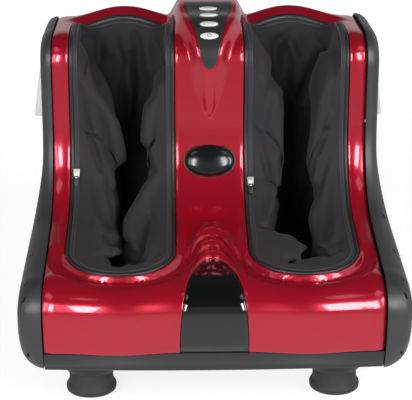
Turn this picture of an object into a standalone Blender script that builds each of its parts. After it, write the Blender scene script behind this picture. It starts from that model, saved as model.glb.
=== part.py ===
"""Foot and calf massager: two lined wells in a moulded body, with a kneading and rolling drive inside.

Metres, +Z up. The toe points to -Y and the calf part stands at +Y. The origin lies on the
floor under the middle of the body. Left and right are as seen from the toe.
"""

import bisect
import math

import bmesh
import bpy
from mathutils import Matrix, Vector

# Body outline in the Y-Z plane, from the front of the tray over the top to the rear
TRAY_BOTTOM = 0.045
TRAY_FRONT_REACH = 0.192
SEAM_HEIGHT = 0.0695
NOSE_REACH = 0.215
NOSE_HEIGHT = 0.115
DECK_START_REACH = 0.165
BEND_RADIUS = 0.098
BEND_HEIGHT = 0.268
CALF_FRONT = 0.024
TOP_HEIGHT = 0.379
CALF_TOP_DROP = 0.039
CALF_FRONT_TOP = TOP_HEIGHT - CALF_TOP_DROP
REAR_REACH = 0.215
TRAY_REAR_INSET = 0.017
TOP_REAR_INSET = 0.089
TOP_LENGTH = 0.051
TRAY_REAR_REACH = REAR_REACH - TRAY_REAR_INSET
TOP_REAR = REAR_REACH - TOP_REAR_INSET
TOP_FRONT = TOP_REAR - TOP_LENGTH
REAR_SHOULDER_DROP = 0.079
REAR_SHOULDER = TOP_HEIGHT - REAR_SHOULDER_DROP
REAR_WAIST = 0.100
SHELL_REAR_DROP = 0.024
SHELL_REAR_HEIGHT = TOP_HEIGHT - SHELL_REAR_DROP
DECK_SLOPE_DEGREES = 10.5
TOP_CORNER_POWER = 2.4
REAR_CORNER_POWER = 3.2

# Widths, walls and gaps
PANEL_FOOT_HALF_WIDTH = 0.2195
PANEL_FLARE = 0.014
PANEL_CALF_DEPTH = 0.0139
PANEL_CALF_HALF_WIDTH = PANEL_FOOT_HALF_WIDTH - PANEL_FLARE
SEAM_HALF_WIDTH = PANEL_CALF_HALF_WIDTH - PANEL_CALF_DEPTH
WALL = 0.003
FIT_GAP = 0.0003
OVERRUN = 0.010

# Wells, seen from above
BRIDGE_HALF_WIDTH = 0.0422
WELL_SIDE_MARGIN = 0.0208
WELL_REAR_MARGIN = 0.053
WELL_HALF_WIDTH = (SEAM_HALF_WIDTH - WELL_SIDE_MARGIN - BRIDGE_HALF_WIDTH) / 2
WELL_CENTRE = BRIDGE_HALF_WIDTH + WELL_HALF_WIDTH
WELL_TOE_REACH = 0.175
WELL_REAR = REAR_REACH - WELL_REAR_MARGIN
WELL_END_DEPTH = 0.056
TOE_CENTRE_Y = -WELL_TOE_REACH + WELL_END_DEPTH
REAR_CENTRE_Y = WELL_REAR - WELL_END_DEPTH
WELL_FLOOR = 0.0795

# Feet
FOOT_SIDE_MARGIN = 0.0496
FOOT_REAR_MARGIN = 0.065
FOOT_X = SEAM_HALF_WIDTH - FOOT_SIDE_MARGIN
FOOT_FRONT_Y = -0.150
FOOT_REAR_Y = REAR_REACH - FOOT_REAR_MARGIN
FOOT_HEIGHT = 0.0275

# Drive
KNEAD_SHAFT_MARGIN = 0.041
KNEAD_SHAFT_Y = REAR_REACH - KNEAD_SHAFT_MARGIN
KNEAD_SHAFT_Z = 0.255
KNEAD_SHAFT_RADIUS = 0.005
ROLLER_AXIS_Z = 0.064
ROLLER_FRONT_Y = -0.085
ROLLER_REAR_Y = 0.020
ROLLER_SHAFT_RADIUS = 0.004

SIDES = ((-1, "left"), (1, "right"))
ARC_STEPS = 24
ROUND_SEGMENTS = 16
SHAFT_SEGMENTS = 12

for old in list(bpy.data.objects):
    bpy.data.objects.remove(old)


def quarter(centre, half, start, end, power=2.0):
    """Points of a superellipse between two angles in degrees, seen along X."""
    points = []
    for step in range(ARC_STEPS + 1):
        angle = math.radians(start + (end - start) * step / ARC_STEPS)
        across, up = math.cos(angle), math.sin(angle)
        points.append(
            (
                centre[0] + half[0] * math.copysign(abs(across) ** (2 / power), across),
                centre[1] + half[1] * math.copysign(abs(up) ** (2 / power), up),
            )
        )
    return points


# The deck is a straight slope that runs tangent into the round bend below the shin face
SLOPE = math.radians(DECK_SLOPE_DEGREES)
BEND_Y = CALF_FRONT - BEND_RADIUS
BEND_START_Y = BEND_Y + BEND_RADIUS * math.sin(SLOPE)
BEND_START_Z = BEND_HEIGHT - BEND_RADIUS * math.cos(SLOPE)
DECK_START_HEIGHT = BEND_START_Z - (BEND_START_Y + DECK_START_REACH) * math.tan(SLOPE)

STRETCHES = (
    ("foot", quarter(
        (-TRAY_FRONT_REACH, NOSE_HEIGHT),
        (NOSE_REACH - TRAY_FRONT_REACH, NOSE_HEIGHT - TRAY_BOTTOM), 270, 180)),
    ("toe", quarter(
        (-DECK_START_REACH, NOSE_HEIGHT),
        (NOSE_REACH - DECK_START_REACH, DECK_START_HEIGHT - NOSE_HEIGHT), 180, 90)),
    ("deck", [(BEND_START_Y, BEND_START_Z)]),
    ("bend", quarter(
        (BEND_Y, BEND_HEIGHT), (BEND_RADIUS, BEND_RADIUS), DECK_SLOPE_DEGREES - 90, 0)),
    ("calf_front", [(CALF_FRONT, CALF_FRONT_TOP)]),
    ("top_corner", quarter(
        (TOP_FRONT, CALF_FRONT_TOP),
        (TOP_FRONT - CALF_FRONT, TOP_HEIGHT - CALF_FRONT_TOP), 180, 90, TOP_CORNER_POWER)),
    ("top", [(TOP_REAR, TOP_HEIGHT)]),
    ("rear_corner", quarter(
        (TOP_REAR, REAR_SHOULDER),
        (REAR_REACH - TOP_REAR, TOP_HEIGHT - REAR_SHOULDER), 90, 0, REAR_CORNER_POWER)),
    ("rear", [(REAR_REACH, REAR_WAIST)]),
    ("rear_foot", quarter(
        (TRAY_REAR_REACH, REAR_WAIST),
        (REAR_REACH - TRAY_REAR_REACH, REAR_WAIST - TRAY_BOTTOM), 0, -90)),
)


def chained(stretches):
    """The outline's points, their distances along it, and the distance at each stretch's end."""
    points, lengths, ends = [], [0.0], {}
    for name, run in stretches:
        for point in run:
            if not points:
                points.append(point)
            elif math.dist(point, points[-1]) > FIT_GAP:
                lengths.append(lengths[-1] + math.dist(point, points[-1]))
                points.append(point)
        ends[name] = lengths[-1]
    return points, lengths, ends


OUTLINE, ALONG, END = chained(STRETCHES)


def outward_normals():
    """At each outline point, the unit vector that points out of the body."""
    normals = []
    last = len(OUTLINE) - 1
    for index in range(last + 1):
        before = Vector(OUTLINE[max(index - 1, 0)])
        after = Vector(OUTLINE[min(index + 1, last)])
        run = (after - before).normalized()
        normals.append(Vector((-run.y, run.x)))
    return normals


OUTWARD = outward_normals()


def outline_at(along):
    """The outline's point and outward normal at a distance along it."""
    index = min(max(bisect.bisect_right(ALONG, along), 1), len(ALONG) - 1)
    share = (along - ALONG[index - 1]) / (ALONG[index] - ALONG[index - 1])
    point = Vector(OUTLINE[index - 1]).lerp(Vector(OUTLINE[index]), share)
    return point, OUTWARD[index - 1].lerp(OUTWARD[index], share).normalized()


def along_at(value, axis, first, last):
    """Where the outline passes a y (axis 0) or a z (axis 1) between two distances along it."""
    low, high = first, last
    rising = outline_at(high)[0][axis] > outline_at(low)[0][axis]
    for _ in range(40):
        middle = (low + high) / 2
        if (outline_at(middle)[0][axis] < value) == rising:
            low = middle
        else:
            high = middle
    return (low + high) / 2


SEAM_ALONG = along_at(SEAM_HEIGHT, 1, 0, END["foot"])
SHELL_END = along_at(SHELL_REAR_HEIGHT, 1, END["top"], END["rear_corner"])


def smooth(share):
    share = min(max(share, 0.0), 1.0)
    return share * share * (3 - 2 * share)


def between(knots, values, at):
    """Straight-line interpolation in a short table."""
    if at <= knots[0]:
        return values[0]
    for index in range(1, len(knots)):
        if at <= knots[index]:
            share = (at - knots[index - 1]) / (knots[index] - knots[index - 1])
            return values[index - 1] + (values[index] - values[index - 1]) * share
    return values[-1]


# Console: a raised ridge that grows out of the shin face and crosses the top
CONSOLE_FOOT = 0.017
CONSOLE_FLANK = 0.014
CONSOLE_RISE_SHIN = 0.009
CONSOLE_RISE_CORNER = 0.0105
CONSOLE_RISE_TOP = 0.018
CONSOLE_RISE_PEAK = 0.0265
CONSOLE_RISE_REAR = 0.020
CONSOLE_REAR_SHARE = 0.55
PLATE_HALF_WIDTH = 0.031
PLATE_MARGIN = 0.004
PLATE_LENGTH_SHARES = (0.0, 0.13, 0.30, 0.55, 1.0)
PLATE_WIDTH_SHARES = (0.10, 0.45, 0.67, 0.85, 1.0)
PLATE_REAR_SHARE = 0.72

CONSOLE_START = END["bend"] + CONSOLE_FOOT
PLATE_START = END["calf_front"]
PLATE_END = END["top_corner"] + (END["top"] - END["top_corner"]) * PLATE_REAR_SHARE


def plate_half_width(along):
    share = (along - PLATE_START) / (PLATE_END - PLATE_START)
    return PLATE_HALF_WIDTH * between(PLATE_LENGTH_SHARES, PLATE_WIDTH_SHARES, share)


def console_rise(along, x):
    rear = END["top"] + (SHELL_END - END["top"]) * CONSOLE_REAR_SHARE
    corner = (END["calf_front"] + END["top_corner"]) / 2
    knots = (CONSOLE_START, END["calf_front"], corner, END["top_corner"], END["top"], rear, SHELL_END)
    rises = (0, CONSOLE_RISE_SHIN, CONSOLE_RISE_CORNER, CONSOLE_RISE_TOP, CONSOLE_RISE_PEAK,
             CONSOLE_RISE_REAR, 0)
    flat = plate_half_width(along) + PLATE_MARGIN
    return between(knots, rises, along) * smooth(1 - (abs(x) - flat) / CONSOLE_FLANK)


# Swells of the moulding beside the console: a hump behind each calf, a soft cap over each toe
HUMP_CORNER_RISE = 0.005
HUMP_RISE = 0.0075
CREST_RISE = 0.0135
CREST_INSET = 0.041
CREST_ALONG = along_at(REAR_REACH - CREST_INSET, 0, END["top"], END["rear_corner"])
HUMP_SPREAD = 0.0077
HUMP_HALF_WIDTH = WELL_HALF_WIDTH + HUMP_SPREAD
TOE_RISE = 0.006
TOE_SEAM_SHARE = 0.7
TOE_SPREAD = 0.0057
TOE_HALF_WIDTH = WELL_HALF_WIDTH + TOE_SPREAD


def bump(x, half_width):
    """A smooth bump of height 1 across each well."""
    distance = abs(abs(x) - WELL_CENTRE) / half_width
    return math.cos(min(distance, 1.0) * math.pi / 2) ** 2


def moulding_rise(along, x):
    knots = (END["calf_front"], END["top_corner"], END["top"], CREST_ALONG, SHELL_END)
    hump = between(knots, (0, HUMP_CORNER_RISE, HUMP_RISE, CREST_RISE, 0), along)
    low = smooth((along - SEAM_ALONG) / (END["foot"] - SEAM_ALONG))
    toe = TOE_SEAM_SHARE + (1 - TOE_SEAM_SHARE) * low
    toe *= smooth((END["toe"] - along) / (END["toe"] - END["foot"]))
    return hump * bump(x, HUMP_HALF_WIDTH) + TOE_RISE * toe * bump(x, TOE_HALF_WIDTH)


# The crest behind each calf rolls down to the rear edge of its well
REAR_LIP_DROP = 0.009
REAR_LIP_WIDTH = 0.014
REAR_LIP_SHARE = 0.7


def rear_lip(along, x):
    """How far the skin lies below the crest, by its distance from the well's rear edge."""
    past = outline_at(along)[0].x - REAR_CENTRE_Y
    if past <= 0 or along < END["calf_front"]:
        return 0.0
    across = abs(abs(x) - WELL_CENTRE)
    reach = math.hypot(across / WELL_HALF_WIDTH, past / WELL_END_DEPTH)
    outside = max(reach - 1, 0) * math.hypot(across, past) / reach
    facing = smooth(past / (REAR_LIP_SHARE * WELL_END_DEPTH))
    return REAR_LIP_DROP * facing * smooth(1 - outside / REAR_LIP_WIDTH)


# Rolled arches on the bridge: bands between nested half ellipses in front of the nose cover
NOSE_WELL_MARGIN = 0.0036
NOSE_HALF_WIDTH = BRIDGE_HALF_WIDTH - NOSE_WELL_MARGIN
NOSE_TOP_REACH = 0.142
ARCH_ROOT_REACH = 0.188
ARCH_REACHES = (NOSE_TOP_REACH, 0.118, 0.093, 0.054)
ARCH_SPREAD = 0.0044
ARCH_RISE = 0.004


def arch_rise(along, x):
    """Height of the rolls: the point's own half ellipse says in which band it lies."""
    reach = outline_at(along)[0].x + ARCH_ROOT_REACH
    if reach <= 0 or along > END["bend"]:
        return 0.0
    lengths = [ARCH_ROOT_REACH - apex for apex in ARCH_REACHES]
    length = reach
    for _ in range(6):
        share = (length - lengths[0]) / (lengths[-1] - lengths[0])
        half_width = NOSE_HALF_WIDTH + ARCH_SPREAD * share
        if abs(x) >= half_width:
            return 0.0
        length = reach / math.sqrt(1 - (x / half_width) ** 2)
    for near, far in zip(lengths, lengths[1:]):
        if near < length < far:
            roll = math.sin(math.pi * (length - near) / (far - near))
            return ARCH_RISE * roll * smooth(2 * reach / lengths[0])
    return 0.0


def skin(along, x, lift=0.0):
    """A point over the moulded surface, lifted off it along its normal."""
    point, normal = outline_at(along)
    rise = lift + console_rise(along, x) + moulding_rise(along, x) + arch_rise(along, x)
    rise -= rear_lip(along, x)
    return Vector((x, point.x + normal.x * rise, point.y + normal.y * rise))


def skin_frame(along, x, lift=0.0):
    """A matrix at a skin point: X across, Y up along the surface, Z out of it."""
    step = FIT_GAP
    up = (skin(along + step, x, lift) - skin(along - step, x, lift)).normalized()
    across = Vector((1, 0, 0))
    out = across.cross(up)
    rotation = Matrix((across, up, out)).transposed().to_4x4()
    return Matrix.Translation(skin(along, x, lift)) @ rotation


def stations(*runs):
    """Distances along the outline: each run is (first, last, steps)."""
    found = []
    for first, last, steps in runs:
        found += [first + (last - first) * step / steps for step in range(steps)]
    return found + [runs[-1][1]]


# Finishes

def finish(name, colour, roughness, metallic=0.0):
    """A Principled material from an sRGB colour of three bytes."""
    made = bpy.data.materials.new(name)
    made.use_nodes = True
    shader = made.node_tree.nodes["Principled BSDF"]
    shader.inputs["Base Color"].default_value = (
        *[(part / 255) ** 2.2 for part in colour],
        1,
    )
    shader.inputs["Roughness"].default_value = roughness
    shader.inputs["Metallic"].default_value = metallic
    made.diffuse_color = shader.inputs["Base Color"].default_value
    return made


RED_GLOSS = finish("red gloss ABS", (184, 24, 36), 0.12)
GREY_SATIN = finish("charcoal satin ABS", (78, 80, 83), 0.45)
BLACK_SATIN = finish("black satin ABS", (40, 40, 42), 0.5)
BLACK_GLOSS = finish("black gloss ABS", (14, 14, 16), 0.08)
PLATE_GREY = finish("dark grey acrylic", (60, 64, 62), 0.3)
BUTTON_WHITE = finish("white ABS", (236, 236, 232), 0.3)
SILVER_TRIM = finish("silver painted ABS", (176, 178, 182), 0.3, 0.6)
RUBBER = finish("black rubber", (38, 38, 40), 0.8)
LINING = finish("charcoal polyester", (58, 56, 62), 0.9)
ZIP_TAPE = finish("black nylon tape", (30, 30, 33), 0.7)
ZIP_METAL = finish("nickel plated zinc", (190, 190, 188), 0.25, 1.0)
STEEL = finish("bright steel", (170, 172, 176), 0.35, 1.0)
GREY_NYLON = finish("natural grey nylon", (150, 150, 146), 0.6)
BOARD_GREEN = finish("green circuit board", (28, 86, 52), 0.5)


# Meshes

MERGE_SHARE = 0.1


def add(name, mesh_tool, material, origin=None, smooth_angle=35):
    """Makes an object of a bmesh in world places, with its origin where it turns or slides."""
    origin = Vector(origin or (0, 0, 0))
    bmesh.ops.recalc_face_normals(mesh_tool, faces=mesh_tool.faces)
    bmesh.ops.translate(mesh_tool, verts=mesh_tool.verts, vec=-origin)
    mesh = bpy.data.meshes.new(name)
    mesh_tool.to_mesh(mesh)
    mesh_tool.free()
    made = bpy.data.objects.new(name, mesh)
    made.location = origin
    bpy.context.scene.collection.objects.link(made)
    if material:
        mesh.materials.append(material)
        mesh.shade_smooth()
        mesh.set_sharp_from_angle(angle=math.radians(smooth_angle))
    else:
        made.hide_render = True
        made.display_type = "WIRE"
    return made


def helper(name, mesh_tool):
    """A hidden cutter, or a lump that a union adds to another object."""
    return add(name, mesh_tool, None)


def boolean(made, other, operation="DIFFERENCE"):
    modifier = made.modifiers.new(operation.lower() + "_" + other.name, "BOOLEAN")
    modifier.object = other
    modifier.operation = operation
    modifier.solver = "EXACT"


def solidify(made, thickness):
    modifier = made.modifiers.new("wall", "SOLIDIFY")
    modifier.thickness = thickness
    modifier.offset = -1


def soften(made, width, segments=2, angle=40):
    modifier = made.modifiers.new("edge", "BEVEL")
    modifier.width = width
    modifier.segments = segments
    modifier.limit_method = "ANGLE"
    modifier.angle_limit = math.radians(angle)


def sheet_faces(shape, rows, closed=False):
    """Faces between rows of points; closed rows join their ends. Returns the rows' vertices."""
    made = [[shape.verts.new(point) for point in row] for row in rows]
    for lower, upper in zip(made, made[1:]):
        count = len(lower)
        for index in range(count if closed else count - 1):
            after = (index + 1) % count
            shape.faces.new((lower[index], lower[after], upper[after], upper[index]))
    return made


def loft(rings, shape=None):
    """A closed solid through rings of points, with flat ends."""
    shape = shape or bmesh.new()
    made = sheet_faces(shape, rings, closed=True)
    shape.faces.new(made[0])
    shape.faces.new(made[-1])
    return shape


def endless(loops):
    """A closed band: its cross-section has one corner on each loop."""
    shape = bmesh.new()
    sheet_faces(shape, loops + loops[:1], closed=True)
    bmesh.ops.remove_doubles(shape, verts=shape.verts, dist=FIT_GAP * MERGE_SHARE)
    return shape


def prism(points, low, high, shape=None):
    """An outline of (y, z) points drawn out along X."""
    return loft([[Vector((x, y, z)) for y, z in points] for x in (low, high)], shape)


def box(low, high, shape=None):
    (x0, y0, z0), (x1, y1, z1) = low, high
    return prism([(y0, z0), (y1, z0), (y1, z1), (y0, z1)], x0, x1, shape)


def column(points, low, high, shape=None):
    """An outline of (x, y) points drawn out along Z."""
    return loft([[Vector((x, y, z)) for x, y in points] for z in (low, high)], shape)


def turned(profile, place, segments=ROUND_SEGMENTS, shape=None):
    """A solid of revolution about the place's Z, from (radius, height) pairs, with flat ends."""
    rings = []
    for radius, height in profile:
        rings.append(
            [
                place @ Vector(
                    (
                        radius * math.cos(2 * math.pi * step / segments),
                        radius * math.sin(2 * math.pi * step / segments),
                        height,
                    )
                )
                for step in range(segments)
            ]
        )
    return loft(rings, shape)


def upright(x, y, z=0.0):
    return Matrix.Translation((x, y, z))


def along_x(x, y, z):
    """A place whose Z runs along +X."""
    return Matrix.Translation((x, y, z)) @ Matrix.Rotation(math.pi / 2, 4, "Y")


def along_y(x, y, z):
    """A place whose Z runs along +Y."""
    return Matrix.Translation((x, y, z)) @ Matrix.Rotation(-math.pi / 2, 4, "X")


def rod(place, radius, low, high, segments=ROUND_SEGMENTS, shape=None):
    return turned([(radius, low), (radius, high)], place, segments, shape)


def oval(place, levels, power=2.0, segments=ROUND_SEGMENTS, shape=None):
    """A stack of ovals: levels are (half width across, half height along, distance out)."""
    rings = []
    for half_x, half_y, out in levels:
        ring = []
        for step in range(segments):
            angle = 2 * math.pi * step / segments
            across, up = math.cos(angle), math.sin(angle)
            ring.append(
                place @ Vector(
                    (
                        half_x * math.copysign(abs(across) ** (2 / power), across),
                        half_y * math.copysign(abs(up) ** (2 / power), up),
                        out,
                    )
                )
            )
        rings.append(ring)
    return loft(rings, shape)


# Rims of the wells

TOE_ALONG = along_at(TOE_CENTRE_Y, 0, END["foot"], END["deck"])
REAR_ALONG = along_at(REAR_CENTRE_Y, 0, END["top_corner"], END["top"])
END_STEPS = 7
RIM_RUN = stations(
    (TOE_ALONG, END["deck"], 1),
    (END["deck"], END["bend"], 8),
    (END["bend"], END["calf_front"], 1),
    (END["calf_front"], END["top_corner"], 4),
    (END["top_corner"], REAR_ALONG, 1),
)


def well_plan(side, inset):
    """The well's outline from above as (x, y), drawn in by inset."""
    half = WELL_HALF_WIDTH - inset
    depth = WELL_END_DEPTH - inset
    points = []
    for centre_y, start in ((TOE_CENTRE_Y, math.pi), (REAR_CENTRE_Y, 0.0)):
        for step in range(2 * END_STEPS + 1):
            angle = start + math.pi * step / (2 * END_STEPS)
            points.append(
                (side * WELL_CENTRE + half * math.cos(angle), centre_y + depth * math.sin(angle))
            )
    return points


def rim_places(side, inset):
    """(along, x) round the rim: round the toe, up one side, round the rear, down the other."""
    half = WELL_HALF_WIDTH - inset
    depth = WELL_END_DEPTH - inset
    centre = side * WELL_CENTRE
    places = []
    for step in range(END_STEPS):
        angle = math.pi + math.pi * step / END_STEPS
        y = TOE_CENTRE_Y + depth * math.sin(angle)
        along = along_at(y, 0, END["foot"], END["deck"])
        places.append((along, centre + half * math.cos(angle)))
    places += [(along, centre + half) for along in RIM_RUN[:-1]]
    for step in range(END_STEPS):
        angle = math.pi * step / END_STEPS
        y = REAR_CENTRE_Y + depth * math.sin(angle)
        along = along_at(y, 0, END["top_corner"], END["rear_corner"])
        places.append((along, centre + half * math.cos(angle)))
    places += [(along, centre - half) for along in reversed(RIM_RUN[1:])]
    return places


def rim_loop(side, inset, lift):
    return [skin(along, x, lift) for along, x in rim_places(side, inset)]


# Front shell

SHELL_EDGE = SEAM_HALF_WIDTH - FIT_GAP
SHELL_BRIDGE_SHARES = (0.0, 0.34, 0.68, 1.0)
SHELL_WELL_SHARES = (-0.86, -0.35, 0.35, 1.0)
BUTTON_START = 0.034
BUTTON_PITCH = 0.0205
BUTTON_HALF_WIDTH = 0.0115
BUTTON_HALF_HEIGHT = 0.00625
BUTTON_NAMES = ("power_button", "heat_button", "speed_button", "mode_button")
PLATE_THICKNESS = 0.0016
LENS_HALF_WIDTH = 0.0315
LENS_HALF_HEIGHT = 0.0215
LENS_ANGLE_DEGREES = 25
LENS_SEGMENTS = 24


def shell_columns():
    """Places across the shell, closer together on the bridge than over the wells."""
    half = [NOSE_HALF_WIDTH * share for share in SHELL_BRIDGE_SHARES]
    half += [WELL_CENTRE + WELL_HALF_WIDTH * share for share in SHELL_WELL_SHARES]
    half.append(SHELL_EDGE)
    return [-x for x in reversed(half[1:])] + half


def button_places():
    top = FIT_GAP + PLATE_THICKNESS
    first = PLATE_START + BUTTON_START
    return [skin_frame(first + BUTTON_PITCH * number, 0, top) for number in range(4)]


def lens_place():
    angle = math.radians(LENS_ANGLE_DEGREES)
    return skin_frame(END["bend"] - BEND_RADIUS * angle, 0)


NOSE_END_GAP = 0.0012
NOSE_SIDE_GAP = 0.0009


def nose_plan():
    """The nose window from above: straight sides and a half-oval rear end."""
    half = NOSE_HALF_WIDTH + NOSE_SIDE_GAP
    depth = ARCH_ROOT_REACH - NOSE_TOP_REACH + NOSE_END_GAP
    front = -NOSE_REACH - OVERRUN
    points = [(-half, front), (half, front)]
    for step in range(2 * END_STEPS + 1):
        angle = math.pi * step / (2 * END_STEPS)
        points.append((half * math.cos(angle), -ARCH_ROOT_REACH + depth * math.sin(angle)))
    return points


SHELL_RUNS = stations(
    (along_at(SEAM_HEIGHT + FIT_GAP, 1, 0, END["foot"]), END["foot"], 4),
    (END["foot"], END["toe"], 5),
    (END["toe"], END["deck"], 8),
    (END["deck"], END["bend"], 7),
    (END["bend"], END["calf_front"], 3),
    (END["calf_front"], END["top_corner"], 6),
    (END["top_corner"], END["top"], 2),
    (END["top"], SHELL_END, 5),
)


def make_front_shell():
    """One moulded sheet over toe, deck, shin face and top, cut for wells, cover, lens and keys."""
    columns = shell_columns()
    shape = bmesh.new()
    sheet_faces(shape, [[skin(along, x) for x in columns] for along in SHELL_RUNS])
    shell = add("front_shell", shape, RED_GLOSS)
    solidify(shell, WALL)
    for side, label in SIDES:
        plan = well_plan(side, 0)
        boolean(shell, helper(label + "_well_cut", column(plan, WELL_FLOOR, TOP_HEIGHT + OVERRUN * 3)))
    boolean(shell, helper("nose_cut", column(nose_plan(), TRAY_BOTTOM, BEND_HEIGHT)))
    lens = oval(
        lens_place(),
        [
            (LENS_HALF_WIDTH + FIT_GAP, LENS_HALF_HEIGHT + FIT_GAP, -OVERRUN),
            (LENS_HALF_WIDTH + FIT_GAP, LENS_HALF_HEIGHT + FIT_GAP, OVERRUN),
        ],
        segments=LENS_SEGMENTS,
    )
    boolean(shell, helper("lens_cut", lens))
    boolean(shell, helper("key_cut", key_holes()))
    return shell


def key_holes():
    """The four oval holes that the buttons pass through, in plate and shell alike."""
    shape = bmesh.new()
    half = (BUTTON_HALF_WIDTH + FIT_GAP, BUTTON_HALF_HEIGHT + FIT_GAP)
    for place in button_places():
        oval(place, [(*half, -OVERRUN), (*half, OVERRUN)], shape=shape)
    return shape


# Nose cover

NOSE_BULGE = 0.003
NOSE_STEPS = 4


def make_nose_cover():
    """A domed black cover from the tray seam over the nose, with a half-oval rear end."""
    start = along_at(SEAM_HEIGHT + FIT_GAP, 1, 0, END["foot"])
    angles = [math.pi / 2 * step / NOSE_STEPS for step in range(-NOSE_STEPS, NOSE_STEPS + 1)]
    columns = [NOSE_HALF_WIDTH * math.sin(angle) for angle in angles]
    depth = ARCH_ROOT_REACH - NOSE_TOP_REACH
    rows = []
    steps = 10
    for step in range(steps + 1):
        row = []
        for x in columns:
            reach = -ARCH_ROOT_REACH + depth * math.sqrt(max(1 - (x / NOSE_HALF_WIDTH) ** 2, 0))
            last = along_at(reach, 0, END["foot"], END["deck"])
            share = step / steps
            along = start + (last - start) * share
            bulge = NOSE_BULGE * smooth(4 * share) * smooth(4 * (1 - share))
            row.append(skin(along, x, bulge * (1 - (x / NOSE_HALF_WIDTH) ** 2)))
        rows.append(row)
    shape = bmesh.new()
    sheet_faces(shape, rows)
    cover = add("nose_cover", shape, BLACK_GLOSS)
    solidify(cover, WALL)
    return cover


# Side panels

PANEL_ROUND = 0.011
PANEL_SEAM_GAP = 0.0009
PANEL_ARC_STEPS = 3
PANEL_FOOT_HEIGHT = 0.0475
PANEL_EDGE_DEPTH = 0.006
FLARE_HEIGHT = 0.112
FLARE_TOP = 0.235
VENT_SHARES = ((0.35, "foot"), (0.35, "toe"), (0.72, "toe"), (0.40, "deck"), (0.10, "bend"))
VENT_SIDE_REACH = 0.003
VENT_X = PANEL_CALF_HALF_WIDTH + VENT_SIDE_REACH
VENT_WIDTH = 0.0032
VENT_LENGTH = 0.0075
VENT_DEPTH = 0.012
VENT_LEAN_DEGREES = 25
GRIP_FORWARD = 0.0145
GRIP_Y = (CALF_FRONT + REAR_REACH) / 2 - GRIP_FORWARD
GRIP_DROP = 0.0805
GRIP_Z = TOP_HEIGHT - GRIP_DROP
GRIP_HALF_LENGTH = 0.0445
GRIP_HALF_HEIGHT = 0.0435


def panel_half_width(z):
    """The side face flares out towards the foot and turns in to the tray below."""
    if z >= FLARE_HEIGHT:
        fall = smooth((FLARE_TOP - z) / (FLARE_TOP - FLARE_HEIGHT))
        return PANEL_CALF_HALF_WIDTH + (PANEL_FOOT_HALF_WIDTH - PANEL_CALF_HALF_WIDTH) * fall
    depth = PANEL_FOOT_HALF_WIDTH - SEAM_HALF_WIDTH - PANEL_EDGE_DEPTH
    share = (FLARE_HEIGHT - z) / (FLARE_HEIGHT - TRAY_BOTTOM)
    return SEAM_HALF_WIDTH + PANEL_EDGE_DEPTH + depth * math.sqrt(max(1 - share ** 3, 0))


def panel_pairs():
    """Front and rear distances along the outline that lie at the same height."""
    fronts = stations(
        (along_at(PANEL_FOOT_HEIGHT, 1, 0, END["foot"]), END["foot"], 3),
        (END["foot"], END["toe"], 4),
        (END["toe"], END["deck"], 2),
        (END["deck"], END["bend"], 5),
        (END["bend"], END["calf_front"], 1),
        (END["calf_front"], END["top_corner"], 4),
    )
    pairs = []
    for along in fronts:
        height = outline_at(along)[0].y
        pairs.append((along, along_at(height, 1, END["top"], END["rear_foot"])))
    return pairs


def panel_row(side, pairs, ring):
    angle = math.pi / 2 * ring / PANEL_ARC_STEPS
    inset = PANEL_ROUND * (1 - math.cos(angle))
    row = []
    for along in [front for front, _ in pairs] + [rear for _, rear in reversed(pairs)]:
        point, normal = outline_at(along)
        y, z = point - normal * inset
        seam = SEAM_HALF_WIDTH + PANEL_SEAM_GAP
        depth = (panel_half_width(z) - seam) * math.sin(angle)
        row.append(Vector((side * (seam + depth), y, z)))
    return row


def vent_cut(side):
    """Small slanted slots that follow the front curve of the panel."""
    shape = bmesh.new()
    starts = {"foot": 0.0, "toe": END["foot"], "deck": END["toe"], "bend": END["deck"]}
    for share, name in VENT_SHARES:
        along = starts[name] + (END[name] - starts[name]) * share
        lean = Matrix.Rotation(math.radians(side * VENT_LEAN_DEGREES), 4, "Z")
        place = skin_frame(along, side * VENT_X) @ lean
        oval(
            place,
            [(VENT_WIDTH / 2, VENT_LENGTH / 2, -VENT_DEPTH), (VENT_WIDTH / 2, VENT_LENGTH / 2, VENT_DEPTH)],
            power=4, segments=8, shape=shape,
        )
    return shape


def make_side_panel(side, label):
    """A dished moulding: a rounded rim off the seam and a flaring face of level strips."""
    pairs = panel_pairs()
    shape = bmesh.new()
    rows = [panel_row(side, pairs, ring) for ring in range(PANEL_ARC_STEPS + 1)]
    made = sheet_faces(shape, rows)
    face = made[-1]
    for index in range(len(pairs) - 1):
        shape.faces.new((face[index], face[index + 1], face[-2 - index], face[-1 - index]))
    for inner, outer in zip(made, made[1:]):
        shape.faces.new((inner[0], outer[0], outer[-1], inner[-1]))
    panel = add(label + "_side_panel", shape, GREY_SATIN)
    solidify(panel, WALL)
    boolean(panel, helper(label + "_vent_cut", vent_cut(side)))
    hole = grip_outline(side, FIT_GAP, SEAM_HALF_WIDTH - OVERRUN, PANEL_FOOT_HALF_WIDTH + OVERRUN)
    boolean(panel, helper(label + "_grip_hole", hole))
    return panel


# Side grips

GRIP_PROUD = 0.0115
GRIP_MOUTH_DROP = 0.0265
GRIP_HOOD_BOTTOM = GRIP_Z - GRIP_MOUTH_DROP
GRIP_LIP = 0.0035
GRIP_SEGMENTS = 16
GRIP_POWER = 4.0
GRIP_BACK = 0.0025
GRIP_TAPER = 0.0095


def grip_lean(z):
    """How far the hood's outer face draws in at a height above its bottom edge."""
    return GRIP_TAPER * (z - GRIP_HOOD_BOTTOM) / (GRIP_Z + GRIP_HALF_HEIGHT - GRIP_HOOD_BOTTOM)


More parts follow.
